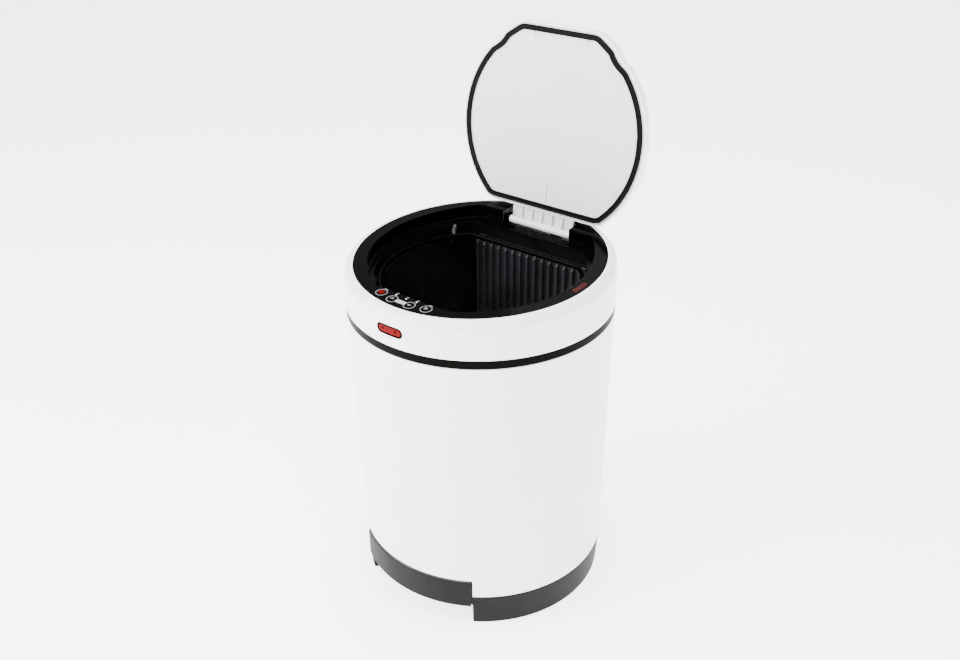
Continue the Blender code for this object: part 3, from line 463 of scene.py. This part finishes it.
def make_base():
    inside = BASE_TOP_R - 2.0 * WALL
    lift, top = BASE_LOW.z, BASE_TOP_Z - GAP
    floor_top = lift + WALL
    edge = 0.0006
    base = instead("base_moulding_fine", stack(
        level(circle(inside - 0.004), floor_top), level(circle(inside), top),
        level(circle(base_r(top) - edge), top), level(circle(base_r(top)), top - edge),
        level(circle(base_r(lift + edge)), lift + edge), level(circle(base_r(lift) - edge), lift),
    ), FOOT, "base_moulding")
    wall = RECESS_HALF + WALL
    housing_r = BASE_FOOT_R - WALL / 2.0
    block = front_arc(housing_r, math.asin(wall / housing_r), 60)
    block += [(wall, -RECESS_BACK + WALL), (-wall, -RECESS_BACK + WALL)]
    carve(base, stack(level(block, lift + GAP), level(block, RECESS_TOP + WALL)), "UNION")
    end_turn = PEDAL_ANGLE + PEDAL_END_GAP / PEDAL_R
    far, near = BASE_TOP_R * 1.3, inside - 2.0 * WALL
    right = [(RECESS_HALF, -RECESS_BACK), (RECESS_HALF, -near * math.cos(end_turn) + 2.0 * WALL)]
    right += [(r * math.sin(end_turn), -r * math.cos(end_turn)) for r in (near, far)]
    void = [(-x, y) for x, y in right] + right[::-1]
    carve(base, stack(level(void, -0.01), level(void, RECESS_TOP)))
    axle_low, axle_high = size_of("pedal_axle")
    for side in (-1.0, 1.0):
        x = side * (axle_high.x - 0.005)
        y, z = (axle_low.y + axle_high.y) / 2.0, (axle_low.z + axle_high.z) / 2.0
        lug = box((x - 0.0035, y - 0.009, z - 0.009), (x + 0.0035, -RECESS_BACK + WALL / 2.0, z + 0.009))
        carve(base, lug, "UNION")
        carve(base, rod_x(0.0034, x - 0.02, x + 0.02, (y, z)))
        carve(base, clip_line(side))
    for i in range(1, 5):
        low, high = size_of(f"floor_pad_{i}")
        spot = ((low.x + high.x) / 2.0, (low.y + high.y) / 2.0)
        seat = circle(0.0104, 32, spot)
        carve(base, stack(level(seat, -0.001), level(seat, high.z + GAP)))


def clip_line(side):
    """The fine parting line round the clip beside each end of the foot bar."""
    depth, line = 0.0004, 0.0007
    start, end = math.radians(33.0), math.radians(38.6)
    top, corner = 0.0490, 0.0080
    path = [(start, top)]
    for i in range(7):
        a = math.radians(90.0 - 90.0 * i / 6)
        path.append((end + (math.cos(a) - 1.0) * corner / BASE_TOP_R, top + (math.sin(a) - 1.0) * corner))
    path.append((end, -0.002))
    rows = []
    for i, (turn, z) in enumerate(path):
        last, after = path[max(i - 1, 0)], path[min(i + 1, len(path) - 1)]
        ahead = Vector(((after[0] - last[0]) * BASE_TOP_R, after[1] - last[1])).normalized()
        across = Vector((-ahead.y, ahead.x)) * line / 2.0
        rim = []
        for sign, sink in ((1.0, -depth), (1.0, 0.002), (-1.0, 0.002), (-1.0, -depth)):
            a = turn + sign * across.x / BASE_TOP_R
            up = z + sign * across.y
            reach = base_r(up) + sink
            rim.append((side * reach * math.sin(a), -reach * math.cos(a), up))
        rows.append(rim)
    return stack(*rows)


def rod_x(radius, low, high, centre, steps=32):
    outline = circle(radius, steps, centre)
    return stack([(low, y, z) for y, z in outline], [(high, y, z) for y, z in outline])


def make_body():
    low, high, edge = BODY_LOW.z, BODY_HIGH.z, 0.0008
    rows = [(body_r(high) - edge, high), (body_r(high), high - edge)]
    rows += [(body_r(low + (high - low) * i / 8), low + (high - low) * i / 8) for i in range(7, 0, -1)]
    rows += [(body_r(low), low + edge), (body_r(low) - edge, low),
             (body_r(low) - WALL, low), (body_r(high) - WALL, high)]
    body = instead("body_shell_fine", ring(*[level(circle(r), z) for r, z in rows]), WHITE, "body_shell")
    window = foot_window(BODY_FOOT_R * 0.9, BODY_TOP_R * 1.1)
    top = PEDAL_HIGH.z + RUN
    carve(body, stack(level(window, 0.0), level(window, top)))
    soften(body, 0.0006, 2, 50.0)


def make_pedal():
    low, high = PEDAL_LOW.z, PEDAL_HIGH.z
    outer, inner = front_arc(PEDAL_R, PEDAL_ANGLE, 72), front_arc(PEDAL_R - PEDAL_T, PEDAL_ANGLE, 72)
    shape = stack(level(outer + inner[::-1], low), level(outer + inner[::-1], high - 0.0012))
    bar = instead("pedal_bar_fine", shape, FOOT, "pedal_bar")
    soften(bar, 0.0014, 3, 50.0)
    axle_low, axle_high = size_of("pedal_axle")
    y, z = (axle_low.y + axle_high.y) / 2.0, (axle_low.z + axle_high.z) / 2.0
    for x in (-0.070, 0.070):
        front = -math.sqrt((PEDAL_R - PEDAL_T / 2.0) ** 2 - x ** 2)
        carve(bar, box((x - 0.004, front, z - 0.0085), (x + 0.004, y + 0.0085, z + 0.0085)), "UNION")
        carve(bar, rod_x(0.0034, x - 0.01, x + 0.01, (y, z)))
    trim = PEDAL_ANGLE - 0.004
    top_outer = front_arc(PEDAL_R - 0.0010, trim, 72)
    top_inner = front_arc(PEDAL_R - PEDAL_T + 0.0008, trim, 72)
    cap = piece("pedal_bar_top_strip", stack(
        level(top_outer + top_inner[::-1], high - 0.0013), level(top_outer + top_inner[::-1], high),
    ), LEDGE, BODY_OF["pedal_bar"])
    soften(cap, 0.0004, 2, 50.0)


# ---------------------------------------------------------------- head
def make_seam():
    low, high = SEAM_TOP - SEAM_H, SEAM_TOP
    inside = body_r(BODY_HIGH.z) - WALL - RUN
    edge = 0.0012
    rows = [(SEAM_R - edge, high)]
    rows += [(SEAM_R - edge + edge * math.sin(a), high - edge + edge * math.cos(a))
             for a in (math.radians(45.0), math.radians(90.0))]
    rows += [(SEAM_R, low + edge), (SEAM_R - edge, low), (inside, low), (inside, SEAM_LOW.z),
             (inside - WALL, SEAM_LOW.z), (inside - WALL, high - WALL), (HOPPER_R + WALL + RUN, high - WALL),
             (HOPPER_R + WALL + RUN, high)]
    instead("seam_ring_fine", ring(*[level(circle(r), z) for r, z in rows]), SATIN, "seam_ring")


def make_head_ring():
    outline = circle(1.0)
    low = HEAD_LOW.z
    edge = 0.0008
    loops = [level(polar_match(outline, HEAD_R - edge), low), level(polar_match(outline, HEAD_R), low + edge)]
    loops += [[(x, y, low + edge + (deck_z(y) - HEAD_ROUND - low - edge) * i / 4)
               for x, y in polar_match(outline, HEAD_R)] for i in range(1, 4)]
    for i in range(15):
        a = math.radians(90.0 * i / 14)
        radius = HEAD_R - HEAD_ROUND + HEAD_ROUND * math.cos(a)
        loops.append(on_deck(polar_match(outline, radius), HEAD_ROUND * (1.0 - math.sin(a))))
    for i in range(8):
        a = math.radians(90.0 - 90.0 * i / 7)
        radius = HEAD_R - HEAD_ROUND + (HEAD_ROUND - WALL) * math.cos(a)
        loops.append(on_deck(polar_match(outline, radius), HEAD_ROUND - (HEAD_ROUND - WALL) * math.sin(a)))
    loops.append(level(polar_match(outline, HEAD_R - WALL), low))
    head = instead("head_ring_fine", ring(*loops), WHITE, "head_ring")
    window = pill(SENSOR_W + 2.0 * GAP, SENSOR_H + 2.0 * GAP)
    cutter = stack([(x, -HEAD_R * 0.97, SENSOR_Z + z) for x, z in window],
                   [(x, -HEAD_R * 1.02, SENSOR_Z + z) for x, z in window])
    carve(head, bent(cutter, HEAD_R))
    inlet = circle(SOCKET_R + GAP, 32, (0.0, SOCKET_Z))
    carve(head, stack([(x, HEAD_R * 0.97, z) for x, z in inlet], [(x, HEAD_R * 1.02, z) for x, z in inlet]))


def pill_ring(profile):
    """A ring round the sensor window from rows of inset and depth behind the head's face."""
    rows = []
    for inset, depth in profile:
        outline = pill(SENSOR_W - 2.0 * inset, SENSOR_H - 2.0 * inset)
        rows.append([(x, -(HEAD_R - depth), SENSOR_Z + z) for x, z in outline])
    return rows


def make_sensor():
    raised = BEZEL_LOW.y + HEAD_R
    rows = pill_ring(((0.0, 0.0040), (0.0, raised + 0.0007), (0.0005, raised), (0.0014, raised),
                      (SENSOR_RIM, raised + 0.0012), (SENSOR_RIM, 0.0040)))
    instead("sensor_bezel_fine", bent(ring(*rows), HEAD_R), PIANO, "sensor_bezel", sharp=50.0)
    inset = SENSOR_RIM + GAP
    rows = pill_ring(((inset, 0.0020), (inset, 0.0006), (inset + 0.0005, 0.0002)))
    grid = []
    outline = pill(SENSOR_W - 2.0 * inset - 0.001, SENSOR_H - 2.0 * inset - 0.001)
    for share in (0.66, 0.33):
        grid.append([(x, -(HEAD_R - 0.0002), SENSOR_Z + z * share) for x, z in outline])
    instead("sensor_lens_fine", bent(stack(*rows, *grid), HEAD_R), LENS, "sensor_lens", sharp=50.0)
    eyes = (-0.0125, 0.0115)
    for i, x in enumerate(eyes, 1):
        spot = [(x + 0.0021 * math.cos(a), -(HEAD_R - 0.00012), SENSOR_Z + 0.0008 + 0.0021 * math.sin(a))
                for a in (2.0 * math.pi * k / 24 for k in range(24))]
        under = [(px, py + 0.0004, pz) for px, py, pz in spot]
        eye = piece(f"sensor_eye_{i}", bent(stack(under, spot), HEAD_R), CELL, "head")


def recess_outline(lid):
    """The lid's edge with running room, set back toward the rear where the lid's edge swings through."""
    rear = LID_REAR - 4.0 * RUN

    def back(y):
        part = min(max((y - SWING_FROM) / (rear - SWING_FROM), 0.0), 1.0)
        return REAR_SWING * part * part

    return [(x, y + back(y)) for x, y in offset(lid, RUN)]


def make_deck():
    lid = lid_outline()
    recess, opening = recess_outline(lid), offset(lid, -OPENING_INSET)
    rim = polar_match(lid, HEAD_EDGE_R - GAP)
    ledge = LEDGE_DEPTH + GASKET_PROUD + GAP
    edge = 0.0009
    loops = (
        on_deck(rim), on_deck(offset(recess, edge)), on_deck(offset(recess, edge * 0.3), edge * 0.3),
        on_deck(recess, edge), on_deck(recess, ledge - 0.0015), on_deck(offset(recess, -0.0015), ledge),
        on_deck(offset(opening, edge), ledge), on_deck(opening, ledge + edge), on_deck(opening, ledge + WALL),
        on_deck(offset(recess, WALL), ledge + WALL), on_deck(offset(recess, WALL), WALL), on_deck(rim, WALL),
    )
    deck = instead("deck_fine", ring(*loops), PIANO, "deck")
    slot = LEAF_HALF + 0.0065
    carve(deck, box((-slot, LID_REAR - 0.004, LID_HINGE.z - 0.0030),
                    (slot, LID_HINGE.y + 0.0135, DECK_AXIS_Z + 0.03)))
    for name in ("power_button", "open_button", "close_button", "start_button"):
        carve(deck, deck_rod(0.0072, *middle_of(name), -0.004, 0.006, 40))
    for i in (1, 2, 3):
        carve(deck, deck_rod(0.0017, *middle_of(f"led_light_pipe_{i}"), -0.004, 0.006, 20))
    carve(deck, indicator(0.0004, -0.004, 0.006))


def middle_of(node):
    low, high = size_of(node)
    return (low.x + high.x) / 2.0, (low.y + high.y) / 2.0


def deck_rod(radius, x, y, low, high, steps=32):
    outline = circle(radius, steps, (x, y))
    return stack(on_deck(outline, high), on_deck(outline, low))


def indicator(grow, low, high):
    x, y = middle_of("indicator_window")
    start = math.atan2(y, x)
    outline = []
    for along, across in pill(0.0330 + 2.0 * grow, 0.0090 + 2.0 * grow):
        a = start + along / INDICATOR_R
        outline.append(((INDICATOR_R - across) * math.cos(a), (INDICATOR_R - across) * math.sin(a)))
    return stack(on_deck(outline, high), on_deck(outline, low))


def deck_patch(name, outline, finish, body, rise=0.00012, thick=0.0002):
    """A thin printed or inlaid mark on the deck."""
    return piece(name, stack(on_deck(outline, thick - rise), on_deck(outline, -rise)), finish, body)


def flat_ring(name, outer, inner, finish, body, rise, thick=0.0004):
    """A thin hoop lying on the deck, or on a button."""
    return piece(name, ring(on_deck(outer, thick - rise), on_deck(outer, -rise),
                            on_deck(inner, -rise), on_deck(inner, thick - rise)), finish, body)


def make_buttons():
    proud = 0.0012
    for name in ("power_button", "open_button", "close_button", "start_button"):
        x, y = middle_of(name)
        rows = []
        for radius, depth in ((0.0022, WALL + 0.0042), (0.0022, WALL + 0.0006), (0.0068, WALL + 0.0006),
                              (0.0068, -proud + 0.0006), (0.0066, -proud + 0.0002), (0.0062, -proud),
                              (0.0045, -proud + 0.0002), (0.0020, -proud + 0.0003)):
            rows.append(on_deck(circle(radius, 40, (x, y)), depth))
        instead(f"{name}_fine", stack(*rows), PIANO, name, sharp=50.0)
        outer, inner = circle(0.0090, 48, (x, y)), circle(0.0081, 48, (x, y))
        flat_ring(f"{name}_hoop", outer, inner, PRINT, "head", 0.00025)
    make_icons(proud)


def make_icons(proud):
    x, y = middle_of("power_button")
    face = proud + 0.00005
    piece("power_mark_disc", deck_rod(0.0050, x, y, -face, -proud + 0.0004, 40), PRINT_RED, "power_button")
    turns = [math.radians(125.0 + 290.0 * i / 24) for i in range(25)]
    arc = [(x + 0.0031 * math.cos(a), y + 0.0031 * math.sin(a)) for a in turns]
    arc += [(x + 0.0023 * math.cos(a), y + 0.0023 * math.sin(a)) for a in reversed(turns)]
    deck_patch("power_mark_arc", arc, PIANO, "power_button", face + 0.00012)
    stem = [(x - 0.0004, y), (x + 0.0004, y), (x + 0.0004, y + 0.0034), (x - 0.0004, y + 0.0034)]
    deck_patch("power_mark_stem", stem, PIANO, "power_button", face + 0.00012)
    x, y = middle_of("start_button")
    arrow = [(x - 0.0022, y - 0.0030), (x + 0.0034, y), (x - 0.0022, y + 0.0030)]
    deck_patch("start_mark", arrow, PRINT, "start_button", face + 0.0001, 0.0006)
    for name, way in (("open_button", 1.0), ("close_button", -1.0)):
        x, y = middle_of(name)
        stroke = ((-3.4, -0.6), (3.4, -0.6), (3.4, 0.3), (-3.4, 0.3))
        line = [(px * 0.001 + x, py * 0.001 + y) for px, py in stroke]
        deck_patch(f"{name}_mark_line", line, PRINT, name, face + 0.0001, 0.0006)
        tip = [(x - 0.0016, y + 0.0012 * way), (x + 0.0016, y + 0.0012 * way), (x, y + 0.0030 * way)]
        deck_patch(f"{name}_mark_tip", tip if way > 0 else tip[::-1], PRINT, name, face + 0.0001, 0.0006)
    (left, row), (right, other) = middle_of("open_button"), middle_of("close_button")
    middle, across = (left + right) / 2.0, (row + other) / 2.0
    bar = []
    for px, py in pill(right - left - 0.0152, 0.0105, 4, 6):
        pinch = 1.0 - 0.25 * math.cos(math.pi * px / (right - left))
        bar.append((middle + px * 1.25, across + py * pinch))
    deck_patch("open_close_bridge", bar, BAR, "head", 0.0003, 0.0006)
    piece("bridge_lamp", deck_rod(0.0013, middle, across, -0.0006, 0.0, 20), LED, "head")
    for i in (1, 2, 3):
        x, y = middle_of(f"led_light_pipe_{i}")
        refined(f"led_light_pipe_{i}", LED, 0.00015)
        dash = [(x - 0.0022, y + 0.0042), (x + 0.0022, y + 0.0042),
                (x + 0.0022, y + 0.0047), (x - 0.0022, y + 0.0047)]
        deck_patch(f"lamp_dash_{i}", dash, BAR, "head")
    for name in ("power_button", "start_button"):
        x, y = middle_of(name)
        dash = [(x - 0.0035, y + 0.0107), (x + 0.0035, y + 0.0107),
                (x + 0.0035, y + 0.0113), (x - 0.0035, y + 0.0113)]
        deck_patch(f"{name}_dash", dash, BAR, "head")


def make_chamber():
    def outline(grow):
        return two_chords(HOPPER_R + grow, HOPPER_FRONT + grow, HOPPER_REAR + grow)

    drop = LEDGE_DEPTH + GASKET_PROUD + WALL + 2.0 * GAP
    collar = SEAM_TOP + GAP
    rows = [on_deck(outline(0.0), drop)]
    rows += [level(outline(0.0), z) for z in (0.480, 0.420, 0.360, 0.300, HOPPER_FOOT_Z + 0.001)]
    rows += [level(outline(0.001), HOPPER_FOOT_Z), level(outline(WALL), HOPPER_FOOT_Z + 0.0005),
             level(outline(WALL), collar), level(outline(0.0100), collar),
             level(outline(0.0100), collar + WALL),
             level(outline(WALL), collar + WALL), on_deck(outline(WALL), drop)]
    liner = instead("hopper_liner_fine", ring(*rows), LINER, "hopper_liner")
    bush_low, bush_high = size_of("press_bush_left")
    y, z = (bush_low.y + bush_high.y) / 2.0, (bush_low.z + bush_high.z) / 2.0
    carve(liner, rod_x(0.0066, -0.140, 0.140, (y, z)))
    gear_low, gear_high = size_of("press_gear")
    carve(liner, box((gear_low.x - 0.002, HOPPER_REAR - 0.004, HOPPER_FOOT_Z - 0.01),
                     (gear_high.x + 0.002, HOPPER_REAR + 0.01, z + 0.0325)))
    ring_low, ring_high = size_of("bag_ring")
    for angle in (-38.0, 38.0, 142.0, 218.0):
        lug = box((0.155, -0.006, ring_low.z - GAP - 0.006), (HOPPER_R + WALL / 2.0, 0.006, ring_low.z - GAP))
        carve(liner, lug, "UNION", Matrix.Rotation(math.radians(angle), 4, "Z"))
    rows = []
    radius, front, rear = 0.1600, 0.1525, 0.1170
    width, soft = 0.0060, 0.0022
    middle = (ring_low.z + ring_high.z) / 2.0
    for inset, z in ((soft, ring_high.z), (0.0006, ring_high.z - 0.0008), (0.0, middle), (0.0, ring_low.z),
                     (width, ring_low.z), (width, middle), (width - 0.0006, ring_high.z - 0.0008),
                     (width - soft, ring_high.z)):
        rows.append(level(two_chords(radius - inset, front - inset, rear - inset), z))
    instead("bag_ring_fine", ring(*rows), PIANO, "bag_ring", sharp=50.0)


# ---------------------------------------------------------------- lid
def lid_level(outline, z):
    return [(x, y - LID_HINGE.y, z) for x, y in outline]


def make_lid():
    edge = lid_outline()
    profile = (
        (0.0090, LID_T), (0.0060, LID_T - 0.0003), (0.0034, LID_T - 0.0010), (0.0016, LID_T - 0.0022),
        (0.0004, LID_T - 0.0040), (0.0, LID_T - 0.0065), (0.0, LID_RIM + 0.0010), (0.0007, LID_RIM),
        (WALL, LID_RIM), (WALL, LID_T - 0.0060), (0.0070, LID_T - WALL),
    )
    rows = [lid_level(core(edge), LID_T)]
    rows += [lid_level(offset(edge, -inset), z) for inset, z in profile]
    rows.append(lid_level(core(edge), LID_T - WALL))
    cover = instead("lid_cover_fine", stack(*rows), LID_WHITE, "lid_cover", LID_AXES)
    low = LID_RIM + PANEL_T + GAP
    rear = LID_REAR - LID_HINGE.y
    slot = box((-LEAF_HALF - GAP, rear - 0.006, low - GAP),
               (LEAF_HALF + GAP, rear + 0.006, low + 0.004 + GAP))
    carve(cover, slot, axes=LID_AXES)
    make_lid_panel(edge)
    make_gasket(edge)
    make_leaf(low)


def core(edge):
    return [(0.6 * x, 0.6 * y) for x, y in edge]


def make_lid_panel(edge):
    top = LID_RIM + PANEL_T
    rim = WALL + GAP
    rows = [lid_level(core(edge), LID_RIM), lid_level(offset(edge, -rim - 0.0004), LID_RIM),
            lid_level(offset(edge, -rim), LID_RIM + 0.0004), lid_level(offset(edge, -rim), top),
            lid_level(core(edge), top)]
    panel = instead("lid_inner_panel_fine", stack(*rows), PALE, "lid_inner_panel", LID_AXES)
    for i in range(1, 9):
        low, high = size_of(f"lid_screw_{i}")
        spot = LID_AXES.inverted() @ ((low + high) / 2.0)
        x, y = spot.x, spot.y
        carve(panel, stack(level(circle(0.0019, 20, (x, y)), LID_RIM - 0.002),
                           level(circle(0.0019, 20, (x, y)), top + 0.002)), axes=LID_AXES)
        face = LID_RIM - GAP
        rows = [level(circle(r, 36, (x, y)), z) for r, z in (
            (0.0015, top + 0.005), (0.0015, face), (0.0048, face), (0.0048, face - 0.0004),
            (0.0044, face - 0.0008),
            (0.0040, face - 0.0009), (0.0024, face - 0.0009), (0.0021, face - 0.0003))]
        instead(f"lid_screw_{i}_fine", stack(*rows), BOSS, f"lid_screw_{i}", LID_AXES, 50.0)


def make_gasket(edge):
    face = LID_RIM - GAP
    proud = face - GASKET_PROUD
    rows = []
    profile = ((GASKET_OUT, face), (GASKET_OUT, proud + 0.0009), (GASKET_OUT + 0.0005, proud + 0.0002),
               (GASKET_OUT + 0.0014, proud), (GASKET_OUT + 0.0026, proud + 0.0006),
               (GASKET_IN - 0.0044, proud + 0.0009), (GASKET_IN - 0.0028, proud + 0.0006),
               (GASKET_IN - 0.0014, proud), (GASKET_IN - 0.0005, proud + 0.0002),
               (GASKET_IN, proud + 0.0009), (GASKET_IN, face))
    for inset, z in profile:
        rows.append(lid_level(offset(edge, -inset), z))
    instead("lid_gasket_fine", ring(*rows), RUBBER, "lid_gasket", LID_AXES, 60.0)


def make_leaf(low):
    """The pale hinge leaf with its barrel, and the small tab on the inner panel."""
    steps = 40
    outer, inner = circle(0.0060, steps), circle(0.0032, steps)
    half = LEAF_HALF
    barrel = ring(
        [(-half, y * 0.93, z * 0.93) for y, z in outer], [(-half + 0.0006, y, z) for y, z in outer],
        [(half - 0.0006, y, z) for y, z in outer], [(half, y * 0.93, z * 0.93) for y, z in outer],
        [(half, y, z) for y, z in inner], [(-half, y, z) for y, z in inner],
    )
    leaf = instead("lid_hinge_leaf_fine", barrel, PALE, "lid_hinge_leaf", LID_AXES)
    plate = box((-half + GAP, -0.0560, low), (half - GAP, -0.0030, low + 0.004))
    carve(leaf, plate, "UNION", LID_AXES)
    rear = LID_REAR - LID_HINGE.y
    for x in (-0.040, -0.020, 0.0, 0.020, 0.040):
        rib = stack([(x - 0.001, rear + 0.0010, low + 0.001), (x + 0.001, rear + 0.0010, low + 0.001),
                     (x + 0.001, -0.0040, low + 0.001), (x - 0.001, -0.0040, low + 0.001)],
                    [(x - 0.001, rear + 0.0010, low - 0.0030), (x + 0.001, rear + 0.0010, low - 0.0030),
                     (x + 0.001, -0.0050, low - 0.0052), (x - 0.001, -0.0050, low - 0.0052)])
        carve(leaf, rib, "UNION", LID_AXES)
    face = LID_RIM - 0.0001
    tab = pill(0.0300, 0.0090, 8, 4)
    rows = [[(y, x - 0.058, z) for x, y in offset(tab[::-1], -inset)] for inset, z in
            ((0.0, face + 0.0012), (0.0, face - 0.0007), (0.0006, face - 0.0012))]
    made = piece("lid_panel_tab", stack(*rows), BOSS, "lid", LID_AXES, 50.0)


# ---------------------------------------------------------------- inner works, kept in the CAD's own shapes
REFINED = {
    "press_plate": (RIBS, 0.0005), "waste_bucket": (SATIN, 0.0008), "pedal_switch": (SATIN, 0.0005),
    "power_socket": (SATIN, 0.0004), "hinge_bracket": (SATIN, 0.0006), "indicator_window": (GLOW, 0.0002),
    "sensor_cell_1": (CELL, 0.0003), "sensor_cell_2": (CELL, 0.0003), "sensor_board": (BOARD, 0.0002),
    "control_board": (BOARD, 0.0002), "main_board": (BOARD, 0.0002), "lid_gear": (NYLON, 0.0002),
    "lid_pinion": (STEEL, 0.0002), "press_bush_left": (NYLON, 0.0003), "press_bush_right": (NYLON, 0.0003),
    "pedal_axle": (STEEL, 0.0004), "pedal_spring": (STEEL, 0.0), "lid_hinge_pin": (STEEL, 0.0004),
    "press_shaft": (STEEL, 0.0005), "press_gear": (STEEL, 0.0002), "press_pinion": (STEEL, 0.0002),
    "motor_hanger": (STEEL, 0.0004), "lid_motor": (CAN, 0.0006), "press_gearbox": (CAN, 0.0008),
    "press_motor": (CAN, 0.0008), "floor_pad_1": (RUBBER, 0.0004), "floor_pad_2": (RUBBER, 0.0004),
    "floor_pad_3": (RUBBER, 0.0004), "floor_pad_4": (RUBBER, 0.0004),
}


def make_works():
    for node, (finish, width) in REFINED.items():
        refined(node, finish, width)


# ---------------------------------------------------------------- floor, light and camera
def make_floor():
    shape = bmesh.new()
    bmesh.ops.create_grid(shape, x_segments=2, y_segments=2, size=40.0)
    mesh = bpy.data.meshes.new("studio_floor")
    shape.to_mesh(mesh)
    shape.free()
    floor = bpy.data.objects.new("studio_floor", mesh)
    bpy.context.scene.collection.objects.link(floor)
    finish = moulded("pale_floor", (0.96, 0.96, 0.96), 0.85, mottle=0.004)
    shader = next(node for node in finish.node_tree.nodes if node.type == "BSDF_PRINCIPLED")
    shader.inputs["Emission Color"].default_value = (1.0, 1.0, 1.0, 1.0)
    shader.inputs["Emission Strength"].default_value = 3.2
    mesh.materials.append(finish)


def add_area(name, place, aim, size, power, colour=(1.0, 1.0, 1.0)):
    light = bpy.data.lights.new(name, "AREA")
    light.shape, light.size, light.size_y = "RECTANGLE", *size
    light.energy, light.color = power, colour
    lamp = bpy.data.objects.new(name, light)
    bpy.context.scene.collection.objects.link(lamp)
    lamp.location = place
    lamp.rotation_euler = (Vector(aim) - Vector(place)).to_track_quat("-Z", "Y").to_euler()


def make_light():
    world = bpy.data.worlds.new("studio")
    bpy.context.scene.world = world
    world.use_nodes = True
    back = world.node_tree.nodes["Background"]
    back.inputs["Color"].default_value = (1.0, 1.0, 1.0, 1.0)
    back.inputs["Strength"].default_value = 1.35
    add_area("overhead", (0.1, -0.2, 2.6), (0.0, 0.0, 0.2), (2.2, 2.2), 120.0)
    add_area("front_left", (-1.6, -2.0, 1.5), (0.0, 0.0, 0.35), (1.4, 1.8), 150.0)
    add_area("front_right", (2.2, -1.4, 1.0), (0.0, 0.0, 0.3), (1.0, 1.6), 24.0, (0.93, 0.96, 1.0))


def make_camera():
    """Seen from the front right and above, as a person standing beside it sees it."""
    data = bpy.data.cameras.new("camera")
    data.sensor_width, data.lens = 36.0, 40.07
    camera = bpy.data.objects.new("camera", data)
    bpy.context.scene.collection.objects.link(camera)
    right = Vector((0.78655, 0.61742, -0.01118)).normalized()
    forward = Vector((-0.54414, 0.68440, -0.48529)).normalized()
    up = right.cross(forward).normalized()
    turn = Matrix((right, up, -forward)).transposed().to_4x4()
    camera.matrix_world = Matrix.Translation((0.92845, -1.17048, 1.26470)) @ turn
    bpy.context.scene.camera = camera


make_camera()
make_base()
make_body()
make_pedal()
make_seam()
make_head_ring()
make_sensor()
make_deck()
make_buttons()
make_chamber()
make_lid()
make_works()
make_floor()
make_light()
